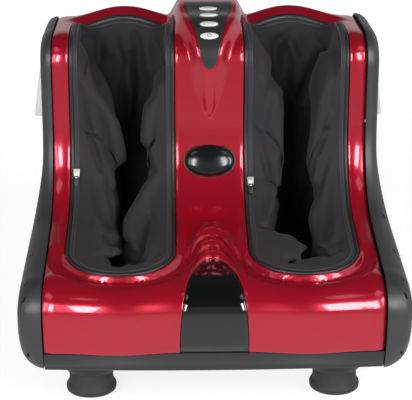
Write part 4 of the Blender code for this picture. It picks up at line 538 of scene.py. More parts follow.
# Each cut edge rolls over into its opening and down its side
ROLL = ((0.0007, 0.00012), (0.0013, 0.0005), (0.0017, 0.0011), (0.0019, 0.0019), (0.0019, 0.0065))
for kind, group in rims.items():
    members = set(group)
    edges = [edge for edge in shape.edges if edge.is_boundary and all(v in members for v in edge.verts)]
    ring = {vertex: tuple(places[vertex]) for vertex in members}
    for inset, drop in ROLL:
        grown = {}
        for vertex, (along, x, _) in ring.items():
            y = outline_at(along)[0].x
            if kind == "nose":
                new_x, new_along = window_edge(x, along, -0.45 * inset)[1]
            else:
                new_x, new_y = opening_edge(kind, x, y, RIM_OUT - inset)[1]
                new_along = along if abs(new_y - y) < 0.00001 else drawn_along(new_y, along)
            grown[vertex] = shape.verts.new(skin(new_along, new_x, -drop))
        for edge in edges:
            shape.faces.new((*edge.verts, grown[edge.verts[1]], grown[edge.verts[0]]))
        edges = [shape.edges.get((grown[edge.verts[0]], grown[edge.verts[1]])) for edge in edges]
        ring = {grown[vertex]: place for vertex, place in ring.items()}
closed(shape, shell)
modify(shell, "SOLIDIFY", thickness=0.002, offset=-1)
dress(shell, RED_GLOSS, replaced=["front_shell"], angle=50)


# Side panels: satin charcoal ABS mouldings with a spark-eroded grain, snapped to the shell along
# a dark seam. Each has a rounded rim, a face that flares towards the foot, and small cooling
# slots along its front curve.
PANEL_ROUND, PANEL_SEAM = 0.013, SEAM_HALF_WIDTH + 0.0007
PANEL_CALF, PANEL_FOOT = 0.2055, 0.2195
FLARE_HEIGHT, FLARE_TOP = 0.112, 0.235


def panel_half_width(z):
    if z >= FLARE_HEIGHT:
        return PANEL_CALF + (PANEL_FOOT - PANEL_CALF) * ease((FLARE_TOP - z) / (FLARE_TOP - FLARE_HEIGHT))
    share = (FLARE_HEIGHT - z) / (FLARE_HEIGHT - TRAY_BOTTOM)
    depth = PANEL_FOOT - SEAM_HALF_WIDTH - 0.006
    return SEAM_HALF_WIDTH + 0.006 + depth * math.sqrt(max(1 - share ** 3, 0))


BEFORE = {"foot": "start", "toe": "foot", "deck": "toe", "bend": "deck"}
END["start"] = 0.0
VENT_SHARES = ((0.35, "foot"), (0.35, "toe"), (0.72, "toe"), (0.40, "deck"), (0.10, "bend"))
VENT_TURN = math.radians(48)
GRIP_Y, GRIP_Z, GRIP_HALF_LENGTH, GRIP_HALF_HEIGHT, GRIP_HOOD_BOTTOM = 0.105, 0.2985, 0.0445, 0.0435, 0.272


def cut(piece, cutter, operation="DIFFERENCE"):
    """Cuts a piece with another, which is then gone."""
    modify(piece, "BOOLEAN", object=cutter, operation=operation, solver="EXACT")
    bpy.data.objects.remove(cutter)
    return piece


def grip_block(side, gap, low, high, taper, edge=0.0):
    """A rounded rectangle in Y and Z, drawn out along X, whose outer face may lean and be rounded."""
    block = start("grip_block", "circle", vertices=96, radius=1.0, fill_type="NGON")
    shape = opened(block)
    face = shape.faces[:][0]
    levels = [(low, 0.0)]
    if edge:
        levels += [(high - edge * (1 - math.sin(a)), edge * (1 - math.cos(a)))
                   for a in [math.pi / 2 * k / 6 for k in range(7)]]
    else:
        levels += [(high, 0.0)]

    def ring_place(index, x, inset):
        angle = 2 * math.pi * index / 96
        across, up = math.cos(angle), math.sin(angle)
        y = GRIP_Y + (GRIP_HALF_LENGTH + gap - inset) * math.copysign(abs(across) ** 0.5, across)
        z = GRIP_Z + (GRIP_HALF_HEIGHT + gap - inset) * math.copysign(abs(up) ** 0.5, up)
        lean = taper * (z - GRIP_HOOD_BOTTOM) / (GRIP_Z + GRIP_HALF_HEIGHT - GRIP_HOOD_BOTTOM)
        return Vector((side * (x - lean * (x - low) / (high - low)), y, z))

    ring = list(face.verts)
    for index, vertex in enumerate(ring):
        vertex.co = ring_place(index, *levels[0])
    for x, inset in levels[1:]:
        grown = [shape.verts.new(ring_place(index, x, inset)) for index in range(len(ring))]
        for k in range(len(ring)):
            shape.faces.new((ring[k - 1], ring[k], grown[k], grown[k - 1]))
        ring = grown
    shape.faces.new(ring)
    closed(shape, block)
    return block


CHARCOAL_SATIN = mottle(*new_material("charcoal_satin_abs", "#343638", 0.40, IOR=1.5),
                        26.0, ("#313335", "#38393B"), (0.38, 0.48), (1500.0, 0.22, 0.0003))

fronts = spread((along_at(0.0475, 1, 0, END["foot"]), END["foot"], END["toe"], END["deck"], END["bend"],
                 END["calf_front"], END["top_corner"]), 0.005)
pairs = [(along, along_at(outline_at(along)[0].y, 1, END["top"], END["rear_foot"])) for along in fronts]
around = [front for front, _ in pairs] + [END["top_corner"] + (END["top"] - END["top_corner"]) * k / 8
                                          for k in range(1, 8)] + [rear for _, rear in reversed(pairs)]
RINGS = 8
for side, label in SIDES:
    panel = start(label + "_panel_skin", "grid", x_subdivisions=len(around) - 1, y_subdivisions=RINGS, size=1)
    shape = opened(panel)
    for index, vertex in enumerate(shape.verts):
        ring, number = divmod(index, len(around))
        angle = math.pi / 2 * ring / RINGS
        point, normal = outline_at(around[number])
        y, z = point - normal * PANEL_ROUND * (1 - math.cos(angle))
        depth = (panel_half_width(z) - PANEL_SEAM) * math.sin(angle)
        vertex.co = (side * (PANEL_SEAM + depth), y, z)
    face = [shape.verts[RINGS * len(around) + k] for k in range(len(around))]
    last = len(around) - 1
    for k in range(len(pairs) - 1):
        shape.faces.new((face[k], face[k + 1], face[last - k - 1], face[last - k]))
    shape.faces.new(face[len(pairs) - 1:last - len(pairs) + 2])
    for ring in range(RINGS):
        low, high = ring * len(around), (ring + 1) * len(around)
        shape.faces.new([shape.verts[k] for k in (low, high, high + last, low + last)])
    closed(shape, panel)
    modify(panel, "SOLIDIFY", thickness=0.0025, offset=-1)
    for share, name in VENT_SHARES:
        along = END[BEFORE[name]] + (END[name] - END[BEFORE[name]]) * share
        point, normal = outline_at(along)
        away = PANEL_ROUND * (1 - math.cos(VENT_TURN))
        place = Vector((side * (PANEL_SEAM + (panel_half_width(point.y) - PANEL_SEAM) * math.sin(VENT_TURN)),
                        point.x - normal.x * away, point.y - normal.y * away))
        out = Vector((side * math.sin(VENT_TURN),
                      normal.x * math.cos(VENT_TURN), normal.y * math.cos(VENT_TURN)))
        along_edge = Vector((0, normal.y, -normal.x))
        leaning = (along_edge + out.cross(along_edge) * side * 0.45).normalized()
        slot = start("vent_slot", "cylinder", vertices=24, radius=0.0016, depth=0.012)
        slot.data.transform(Matrix.Diagonal((1, 2.6, 1, 1)))
        slot.data.transform(Matrix.Translation(place) @ Matrix(
            (leaning.cross(out), leaning, out)).transposed().to_4x4())
        cut(panel, slot)
    cut(panel, grip_block(side, 0.0005, SEAM_HALF_WIDTH - 0.012, 0.24, 0.0))
    dress(panel, CHARCOAL_SATIN, replaced=[label + "_side_panel"], angle=35)


# Nose cover: a domed piece of gloss black ABS, clipped in behind the shell's window. It is
# moulded in a polished tool, so it mirrors the floor in front and the room above it.
BLACK_GLOSS = mottle(*new_material("black_gloss_abs", "#0B0C0D", 0.06, IOR=1.53, Coat_Weight=0.3,
                                   Coat_Roughness=0.03),
                     12.0, ("#0A0B0C", "#0D0E0F"), (0.045, 0.08), (180.0, 0.04, 0.0004))

NOSE_COLUMNS, NOSE_ROWS = 34, 130
nose_cover = start("nose_cover_skin", "grid", x_subdivisions=NOSE_COLUMNS, y_subdivisions=NOSE_ROWS, size=1)
for index, vertex in enumerate(nose_cover.data.vertices):
    row, column = divmod(index, NOSE_COLUMNS + 1)
    past = math.sin(math.pi / 2 * row / NOSE_ROWS)
    along = SEAM_ALONG + 0.0005 + APEXES[0] * past
    half = (NOSE_HALF_WIDTH - 0.0003) * math.sqrt(max(1 - past ** 2, 0.0))
    share = math.sin(math.pi / 2 * (2 * column / NOSE_COLUMNS - 1))
    edge = max(1 - math.hypot(share * half / NOSE_HALF_WIDTH, past), 0.0)
    dome = 0.0026 * math.sqrt(max(1 - (1 - min(edge * 4.0, 1.0)) ** 2, 0.0))
    dome *= ease((along - SEAM_ALONG) / 0.012)
    vertex.co = skin(along, share * half, dome - 0.0012)
modify(recalculated(nose_cover), "SOLIDIFY", thickness=0.0022, offset=-1)
dress(nose_cover, BLACK_GLOSS, replaced=["nose_cover"], angle=50)


# Control plate: a dark acrylic leaf bonded to the console's crown. It is cut from printed sheet,
# so its face is semi-gloss and its edge a fine bright line.
PLATE_DARK = mottle(*new_material("dark_grey_acrylic", "#353937", 0.22, IOR=1.49, Coat_Weight=0.4,
                                  Coat_Roughness=0.12),
                    30.0, ("#2B2E2D", "#303332"), (0.18, 0.26), (900.0, 0.08, 0.0002))
PLATE_COLUMNS, PLATE_HIGH = 24, 0.0017
plate_rows = [PLATE_START + (PLATE_END - PLATE_START) * (1 - math.cos(math.pi / 2 * k / 90))
              for k in range(91)]
plate = start("control_plate_face", "grid", x_subdivisions=PLATE_COLUMNS, y_subdivisions=90, size=1)
for index, vertex in enumerate(plate.data.vertices):
    row, column = divmod(index, PLATE_COLUMNS + 1)
    share = 2 * column / PLATE_COLUMNS - 1
    vertex.co = skin(plate_rows[row], plate_half_width(plate_rows[row]) * share, PLATE_HIGH)
modify(recalculated(plate), "SOLIDIFY", thickness=0.0016, offset=-1)
modify(plate, "BEVEL", width=0.00035, segments=2, limit_method="ANGLE", angle_limit=math.radians(50))
dress(plate, PLATE_DARK, replaced=["control_plate"], angle=30)


# Keys: four oval caps moulded in white ABS. They are domed a little and stand proud of the plate, and the
# first carries the usual ring-and-bar sign for power. A flat black oval under each, a little wider than the
# cap, is painted shade for the narrow gap round the key.
WHITE_ABS = mottle(*new_material("white_abs", "#E9EAE8", 0.28, IOR=1.5),
                   40.0, ("#E6E7E5", "#ECEDEB"), (0.24, 0.33), (1200.0, 0.06, 0.0002))
KEY_SPOTS = (0.0310, 0.0456, 0.0640, 0.0850)
BUTTON_HALF_WIDTH, BUTTON_HALF_HEIGHT = 0.0111, 0.0047


def drawn_up(name, rings, place=Matrix(), segments=64):
    """Draws a filled oval out ring by ring in edit mode: (half across, half along, height)."""
    piece = start(name, "circle", vertices=segments, radius=1.0, fill_type="NGON")
    bpy.ops.object.mode_set(mode="EDIT")
    bpy.ops.mesh.select_all(action="SELECT")
    wide, high, level = rings[0]
    bpy.ops.transform.resize(value=(wide, high, 1), center_override=(0, 0, 0))
    bpy.ops.transform.translate(value=(0, 0, level))
    for new_wide, new_high, new_level in rings[1:]:
        bpy.ops.mesh.extrude_region_move(TRANSFORM_OT_translate={"value": (0, 0, new_level - level)})
        bpy.ops.transform.resize(value=(new_wide / wide, new_high / high, 1),
                                 center_override=(0, 0, new_level))
        wide, high, level = new_wide, new_high, new_level
    bpy.ops.object.mode_set(mode="OBJECT")
    piece.data.transform(place)
    return recalculated(piece)


KEY_RISE = ((1.0, 1.0, -0.007), (1.0, 1.0, 0.0004), (0.985, 0.975, 0.0009), (0.95, 0.93, 0.0013),
            (0.86, 0.82, 0.00165), (0.70, 0.65, 0.0019), (0.45, 0.42, 0.0021), (0.15, 0.14, 0.0022))
KEYS = ("power", "heat", "speed", "mode")
for number, key in enumerate(KEYS):
    place = skin_frame(PLATE_START + KEY_SPOTS[number], 0, PLATE_HIGH)
    if number == 0:
        POWER_KEY_PLACE = place
    cap = drawn_up(key + "_key_cap", [(BUTTON_HALF_WIDTH * a, BUTTON_HALF_HEIGHT * b, z)
                                      for a, b, z in KEY_RISE], place)
    dress(cap, WHITE_ABS, body=key + "_key", replaced=[key + "_button"], angle=40)
    # Painted shade: a thin flat black oval round each key stands in for the shade of the gap between key and
    # plate
    well = drawn_up(key + "_key_surround", [(BUTTON_HALF_WIDTH + out, BUTTON_HALF_HEIGHT + out, z)
                                            for out, z in ((0.0011, 0.0), (0.0009, 0.00022))], place)
    dress(well, BLACK_GLOSS, angle=40)

# The power sign is a pad-printed ring, open at the top, with a bar
sign = start("power_sign", "circle", vertices=40, radius=0.00205, fill_type="NOTHING")
bpy.ops.object.mode_set(mode="EDIT")
bpy.ops.mesh.select_all(action="SELECT")
bpy.ops.mesh.extrude_region_move(TRANSFORM_OT_translate={"value": (0, 0, 0)})
bpy.ops.transform.resize(value=(1.26, 1.26, 1), center_override=(0, 0, 0))
bpy.ops.object.mode_set(mode="OBJECT")
shape = opened(sign)
gap = [face for face in shape.faces if face.calc_center_median().y > 0
       and abs(face.calc_center_median().x) < 0.00075]
bmesh.ops.delete(shape, geom=gap, context="FACES")
bar = [shape.verts.new((x, y, 0)) for x, y in ((-0.00026, 0.0008), (0.00026, 0.0008), (0.00026, 0.0029),
                                               (-0.00026, 0.0029))]
shape.faces.new(bar)
shape.to_mesh(sign.data)
shape.free()
sign.data.transform(POWER_KEY_PLACE @ Matrix.Translation((0, 0, 0.00218)))
modify(sign, "SOLIDIFY", thickness=0.0001, offset=1)
SIGN_INK = mottle(*new_material("sign_ink", "#4A4F52", 0.5),
                  300.0, ("#464B4E", "#4E5356"))
dress(sign, SIGN_INK, body="power_key")


# Oval lens: a thick cap of smoked acrylic on the bridge, polished and domed, in a thin dark
# bezel that sits in a groove of the shell.
bezel = drawn_up("lens_bezel", [(0.0321, 0.0221, -0.0010), (0.0321, 0.0221, 0.0012), (0.0317, 0.0217, 0.0020),
                                (0.0309, 0.0209, 0.0023), (0.0302, 0.0202, 0.0018), (0.0300, 0.0200, 0.0008)],
                 LENS_PLACE, 112)
BLACK_SATIN = mottle(*new_material("black_satin_abs", "#222325", 0.40, IOR=1.5),
                     30.0, ("#202123", "#252628"), (0.38, 0.48), (1400.0, 0.2, 0.0003))
dress(bezel, BLACK_SATIN, angle=40)
LENS_ACRYLIC = mottle(*new_material("smoked_acrylic", "#15191A", 0.17, IOR=1.49),
                      12.0, ("#0F1314", "#131819"), (0.15, 0.19), (180.0, 0.04, 0.0004))
LENS_TURNS = [0.001 + math.pi / 2 * 0.985 * k / 20 for k in range(21)]
lens = drawn_up("lens_dome", [
    (0.0298 * math.cos(a), 0.0198 * math.cos(a), 0.0010 + 0.0078 * math.sin(a) ** 0.9)
    for a in LENS_TURNS], LENS_PLACE, 112)
dress(lens, LENS_ACRYLIC, replaced=["oval_lens"], angle=60)


# Side grips: carrying handles in silver-painted ABS, pressed into the side panels. A hood leans
# out over a finger pocket that is open from below.
SILVER = mottle(*new_material("silver_painted_abs", "#E2E4E6", 0.35, Metallic=0.2, Coat_Weight=0.4,
                              Coat_Roughness=0.08),
                20.0, ("#DEE0E2", "#E6E8EA"), (0.32, 0.36), (1200.0, 0.02, 0.0001))
GRIP_INNER, GRIP_OUTER, GRIP_TAPER = SEAM_HALF_WIDTH + 0.0009, PANEL_CALF + 0.0115, 0.0095
for side, label in SIDES:
    grip = grip_block(side, 0.0, GRIP_INNER, GRIP_OUTER, GRIP_TAPER, edge=0.0050)
    grip.name = grip.data.name = label + "_grip_hood"
    pocket = start("pocket", "cube", size=1)
    for vertex in pocket.data.vertices:
        x, y, z = [value > 0 for value in vertex.co]
        top = GRIP_Z + GRIP_HALF_HEIGHT - 0.007
        lean = 0.0
        if z:
            lean = GRIP_TAPER * (top - GRIP_HOOD_BOTTOM) / (GRIP_Z + GRIP_HALF_HEIGHT - GRIP_HOOD_BOTTOM)
        vertex.co = (side * (GRIP_OUTER - 0.0035 - lean if x else GRIP_INNER + 0.0025),
                     GRIP_Y + (0.0395 if y else -0.0395), top if z else GRIP_Z - GRIP_HALF_HEIGHT + 0.0035)
    modify(recalculated(pocket), "BEVEL", width=0.005, segments=5)
    cut(grip, pocket)
    mouth = block("mouth", Matrix.Translation((side * (PANEL_CALF + 0.0203), GRIP_Y, GRIP_HOOD_BOTTOM - 0.05))
                  @ Matrix.Diagonal((0.04, 0.12, 0.1, 1)))
    cut(grip, mouth)
    modify(grip, "BEVEL", width=0.0011, segments=3, limit_method="ANGLE", angle_limit=math.radians(50))
    dress(grip, SILVER, replaced=[label + "_grip"], angle=40)


# Collars: a soft black trim ring round each well that hides the shell's edge and carries the
# zip. It is a rounded extrusion pressed over the rim.
TOE_ALONG = along_at(TOE_CENTRE_Y, 0, END["foot"], END["bend"])
REAR_ALONG = along_at(REAR_CENTRE_Y, 0, END["top_corner"], END["top"])
STRAIGHT = spread((TOE_ALONG, END["deck"], END["bend"], END["calf_front"], END["top_corner"],
                   REAR_ALONG), 0.0035)


def rim_path(side, inset, end_steps=28):
    """(along, x) round a well, drawn in by an inset: toe end, one side, rear end, other side."""
    half, depth, centre = WELL_HALF_WIDTH - inset, WELL_END_DEPTH - inset, side * WELL_CENTRE
    places = []
    for k in range(end_steps):
        angle = math.pi + math.pi * k / end_steps
        y = TOE_CENTRE_Y + depth * math.sin(angle)
        places.append((along_at(y, 0, END["foot"], END["bend"]), centre + half * math.cos(angle)))
    places += [(along, centre + half) for along in STRAIGHT[:-1]]
    for k in range(end_steps):
        angle = math.pi * k / end_steps
        y = REAR_CENTRE_Y + depth * math.sin(angle)
        places.append((along_at(y, 0, END["top_corner"], END["rear_corner"]),
                       centre + half * math.cos(angle)))
    return places + [(along, centre - half) for along in reversed(STRAIGHT[1:])]


def banked(along, x, inset, lift):
    """A point of a band round a well, which tips into the well behind the calf."""
    tip = 0.75 * ease((outline_at(along)[0].x - REAR_CENTRE_Y) / (0.8 * WELL_END_DEPTH))
    return skin(along, x, lift - (tip * inset if along > END["calf_front"] else 0.0))


def swept_round(name, side, profile, end_steps=28):
    """A closed band round a well, from (inset, lift) corners."""
    band = start(name, "grid", x_subdivisions=1, y_subdivisions=1, size=1)
    shape = bmesh.new()
    loops = [[shape.verts.new(banked(along, x, inset, lift)) for along, x in rim_path(side, inset, end_steps)]
             for inset, lift in profile]
    for low, high in zip(loops, loops[1:] + loops[:1]):
        for k in range(len(low)):
            shape.faces.new((low[k - 1], low[k], high[k], high[k - 1]))
    closed(shape, band)
    return band


COLLAR_PROFILE = ((0.0006, -0.0080), (0.0006, -0.0004), (0.0008, 0.0006), (0.0014, 0.0013), (0.0024, 0.0016),
                  (0.0036, 0.0014), (0.0044, 0.0008), (0.0048, -0.0002), (0.0049, -0.0080))
for side, label in SIDES:
    collar = swept_round(label + "_collar_trim", side, COLLAR_PROFILE)
    dress(collar, BLACK_SATIN, replaced=[label + "_collar"], angle=70)


# Zips: black nylon tape sewn to the lining, with a moulded coil down its middle. The coil is
# drawn a little coarser than the real 1.3 mm so that it shows, beside a fine lighter piping.
ZIP_START, ZIP_WIDTH = 0.0054, 0.0046
NYLON_TAPE, shader = new_material("black_nylon_tape", "#232427", 0.7, Sheen_Weight=0.3, Sheen_Roughness=0.5)
place = add_node(NYLON_TAPE, "TexCoord").outputs["Object"]
rib = add_node(NYLON_TAPE, "TexNoise", {"Vector": place, "Scale": 900.0, "Detail": 2.0})
ramp = add_node(NYLON_TAPE, "ValToRGB", {"Fac": rib.outputs["Fac"]})
for element, colour in zip(ramp.color_ramp.elements, ("#1B1C1F", "#2E2F33")):
    element.color = linear(colour)
link(NYLON_TAPE, ramp.outputs["Color"], shader, "Base Color")
height = add_node(NYLON_TAPE, "Bump", {"Height": rib.outputs["Fac"], "Strength": 0.4, "Distance": 0.0003})
link(NYLON_TAPE, height.outputs["Normal"], shader, "Normal")
PIPING = mottle(*new_material("polyester_piping", "#2B2D2D", 0.55, Sheen_Weight=0.1),
                700.0, ("#292B2B", "#333535"), (0.5, 0.6), (1500.0, 0.3, 0.0003))
COIL = mottle(*new_material("nylon_coil", "#2A2B2E", 0.55),
              400.0, ("#252629", "#303135"))
COIL_PITCH = 0.0021
for side, label in SIDES:
    low, high = ZIP_START, ZIP_START + ZIP_WIDTH
    tape = swept_round(label + "_zip_tape", side, (
        (low - 0.0009, -0.0030), (low - 0.0009, -0.0006), (low + 0.0008, 0.0001),
        (high - 0.0008, 0.0001), (high, -0.0002), (high, -0.0030)))
    dress(tape, NYLON_TAPE, replaced=[label + "_zip"], angle=40)
    cord_at = high + 0.0001
    piping = swept_round(label + "_piping", side, [
        (cord_at + 0.00075 * math.cos(a), 0.0001 + 0.00075 * math.sin(a))
        for a in [2 * math.pi * k / 8 for k in range(8)]])
    dress(piping, PIPING, angle=80)
    middle, edge = [[banked(along, x, inset, 0.0004) for along, x in rim_path(side, inset)]
                    for inset in (ZIP_START + ZIP_WIDTH * 0.45, ZIP_START)]
    coil = start(label + "_zip_coil", "cube", size=1)
    tooth = opened(coil)
    bmesh.ops.bevel(tooth, geom=tooth.edges, offset=0.18, segments=1, affect="EDGES")
    bmesh.ops.transform(tooth, verts=tooth.verts, matrix=Matrix.Diagonal((0.0022, 0.0011, 0.0008, 1)))
    tooth.verts.index_update()
    corners = [vertex.co.copy() for vertex in tooth.verts]
    sides = [[vertex.index for vertex in face.verts] for face in tooth.faces]
    shape = bmesh.new()
    left_over = 0.0
    for k in range(len(middle)):
        here, there = middle[k - 1], middle[k]
        step = there - here
        run = step.normalized()
        across = (edge[k] - middle[k]).normalized()
        up = across.cross(run).normalized()
        up = up if up.z > 0 or up.y < 0 else -up
        turn = Matrix((across, run, up)).transposed().to_4x4()
        at = left_over
        while at < step.length:
            made = [shape.verts.new(Matrix.Translation(here + run * at) @ turn @ corner)
                    for corner in corners]
            for face in sides:
                shape.faces.new([made[i] for i in face])
            at += COIL_PITCH
        left_over = at - step.length
    closed(shape, coil)
    tooth.free()
    dress(coil, COIL, angle=30)


# Zip sliders and pulls: die-cast zinc sliders, nickel plated and a little rubbed, each with a
# moulded black pull that hangs down the bend from a wire bail.
NICKEL = mottle(*new_material("nickel_plated_zinc", "#EEEDE8", 0.38, Metallic=0.7),
                500.0, ("#E8E7E2", "#F4F3EE"), (0.32, 0.44), (1500.0, 0.05, 0.0001))
SLIDER_ANGLES = {"left": 34.0, "right": 41.0}
for side, label in SIDES:
    along = END["bend"] - BEND_RADIUS * math.radians(SLIDER_ANGLES[label])
    x = side * WELL_CENTRE - (WELL_HALF_WIDTH - ZIP_START - ZIP_WIDTH / 2)
    place = skin_frame(along, x, 0.0018)
    slider = block(label + "_slider_body", place @ Matrix.Translation((0, 0, 0.0012))
                   @ Matrix.Diagonal((0.0082, 0.0116, 0.0030, 1)), 0.0011, 4)
    for vertex in slider.data.vertices:  # narrower towards the pull
        local = place.inverted() @ vertex.co
        local.x *= 1 - 0.22 * max(0.0, -local.y / 0.0055)
        vertex.co = place @ local
    bridge = block("bridge", place @ Matrix.Translation((0, 0, 0.0030))
                   @ Matrix.Diagonal((0.0018, 0.0070, 0.0026, 1)), 0.0007)
    hole = block("hole", place @ Matrix.Translation((0, -0.0004, 0.0034))
                 @ Matrix.Diagonal((0.004, 0.0036, 0.0016, 1)))
    cut(bridge, hole)
    cut(slider, bridge, "UNION")
    dress(slider, NICKEL, body=label + "_zip_slider", replaced=[label + "_slider"], angle=35)
    swing = place @ Matrix.Translation((0, -0.0006, 0.0034))
    bail = start(label + "_pull_bail", "torus", major_radius=0.0028, minor_radius=0.00055, major_segments=28,
                 minor_segments=8)
    bail.data.transform(swing @ Matrix.Translation((0, -0.0026, 0)) @ Matrix.Diagonal((0.8, 1.15, 1, 1)))
    dress(bail, NICKEL, body=label + "_zip_pull", angle=60)
    pull = block(label + "_pull_tab", Matrix.Diagonal((0.0058, 0.0130, 0.0014, 1)))
    for vertex in pull.data.vertices:
        vertex.co.x *= 0.78 if vertex.co.y < 0 else 1.0
    modify(pull, "BEVEL", width=0.0006, segments=3)
    eye = start("eye", "cylinder", vertices=24, radius=0.0016, depth=0.006)
    eye.data.transform(Matrix.Translation((0, 0.0040, 0)))
    cut(pull, eye)
    pull.data.transform(swing @ Matrix.Translation((0, -0.0100, 0)))
    dress(pull, BLACK_SATIN, body=label + "_zip_pull", replaced=[label + "_pull"], angle=35)


# Linings: sacks of charcoal polyester satin, cut and sewn, zipped round each well. They hang slack,
# swell over the kneading paddles inside, and bunch at the toe. The weave is drawn at 0.8 mm.
LINER_INSET = ZIP_START + ZIP_WIDTH + 0.0006
CHARCOAL_CLOTH, shader = new_material("charcoal_polyester", "#353136", 0.80, Sheen_Weight=0.04,
                                      Sheen_Roughness=0.5, IOR=1.40)
weave_map = add_node(CHARCOAL_CLOTH, "UVMap", uv_map="cloth")
warp, weft = [add_node(CHARCOAL_CLOTH, "TexWave", {
    "Vector": weave_map.outputs["UV"], "Scale": 390.0, "Distortion": 1.2, "Detail": 1.0,
    "Detail Scale": 2.0}, bands_direction=axis) for axis in "XY"]
weave = add_node(CHARCOAL_CLOTH, "Mix", {2: warp.outputs["Fac"], 3: weft.outputs["Fac"], "Factor": 0.5})
place = add_node(CHARCOAL_CLOTH, "TexCoord").outputs["Object"]
shade = add_node(CHARCOAL_CLOTH, "TexNoise", {"Vector": place, "Scale": 16.0, "Detail": 4.0})
ramp = add_node(CHARCOAL_CLOTH, "ValToRGB", {"Fac": shade.outputs["Fac"]})
for element, colour in zip(ramp.color_ramp.elements, ("#232024", "#2B272C")):
    element.color = linear(colour)
ramp.color_ramp.elements[0].position, ramp.color_ramp.elements[1].position = 0.3, 0.7
link(CHARCOAL_CLOTH, ramp.outputs["Color"], shader, "Base Color")
height = add_node(CHARCOAL_CLOTH, "Bump", {"Height": weave.outputs["Result"], "Strength": 0.25,
                                           "Distance": 0.0003})
link(CHARCOAL_CLOTH, height.outputs["Normal"], shader, "Normal")

# Where the studio's camera stands; the folds are laid out in the picture that it sees
CAMERA_TURN, CAMERA_PITCH = math.radians(1.5), math.radians(18.45)
CAMERA_AWAY, CAMERA_HEIGHT = 1.728, 0.757
CAMERA_PLACE = Vector((-CAMERA_AWAY * math.sin(CAMERA_TURN), -CAMERA_AWAY * math.cos(CAMERA_TURN),
                       CAMERA_HEIGHT))
CAMERA_YAW = -CAMERA_TURN + math.radians(0.155)
CAMERA_RIGHT = Vector((math.cos(CAMERA_YAW), math.sin(CAMERA_YAW), 0))
CAMERA_AHEAD = Vector((-math.sin(CAMERA_YAW) * math.cos(CAMERA_PITCH),
                       math.cos(CAMERA_YAW) * math.cos(CAMERA_PITCH), -math.sin(CAMERA_PITCH)))
FOCAL_LENGTH, MIDDLE_COLUMN, MIDDLE_ROW = 1480, 206, 200
CAMERA_UP = CAMERA_RIGHT.cross(CAMERA_AHEAD)


def seen(point):
    """Column and row of a point in the camera's picture, which is 412 wide."""
    ray = point - CAMERA_PLACE
    far = ray.dot(CAMERA_AHEAD)
    return Vector((MIDDLE_COLUMN + FOCAL_LENGTH * ray.dot(CAMERA_RIGHT) / far,
                   MIDDLE_ROW - FOCAL_LENGTH * ray.dot(CAMERA_UP) / far))


def floor_y(along, y):
    """Where a strip of lining that starts on a straight side meets the floor."""
    if along <= END["bend"]:
        return y
    return flowing((END["bend"], END["calf_front"], REAR_ALONG),
                   (CALF_FRONT, CALF_FRONT + 0.02, REAR_CENTRE_Y), along)


LINING_FLOOR = WELL_FLOOR + 0.0035
# Swells: wall (1 outer, -1 inner), centre y and z, half length, half height, lean, depth inwards, how
# blunt it is and how soon it sets in below the rim. Where two meet, the deeper one lies in front of
# the other along a crease.
SWELLS = {
    "left": (
        (1, 0.055, 0.235, 0.100, 0.125, 0.45, 0.046, 0.8, 3.4),
        (1, 0.005, 0.130, 0.150, 0.095, 0.0, 0.049, 0.5, 4.5),
        (1, -0.112, 0.150, 0.045, 0.060, 0.0, 0.045, 0.5, 12.0),
        (-1, 0.040, 0.235, 0.090, 0.115, 0.3, 0.024, 0.8, 3.4),
        (-1, -0.035, 0.118, 0.110, 0.108, 0.2, 0.050, 0.7, 4.5),
    ),
    "right": (
        (-1, 0.060, 0.245, 0.100, 0.130, 0.2, 0.042, 0.7, 3.6),
        (-1, -0.005, 0.170, 0.045, 0.042, 0.0, 0.028, 0.5, 12.0),
        (-1, 0.045, 0.160, 0.060, 0.055, 0.0, 0.036, 0.5, 5.0),
        (-1, -0.112, 0.150, 0.046, 0.070, 0.0, 0.050, 0.4, 14.0),
        (1, 0.040, 0.235, 0.095, 0.125, 0.2, 0.034, 0.8, 3.4),
        (1, -0.040, 0.140, 0.100, 0.090, 0.3, 0.036, 0.6, 5.0),
    ),
}
TOE_SWELL = {"left": 0.030, "right": 0.040}
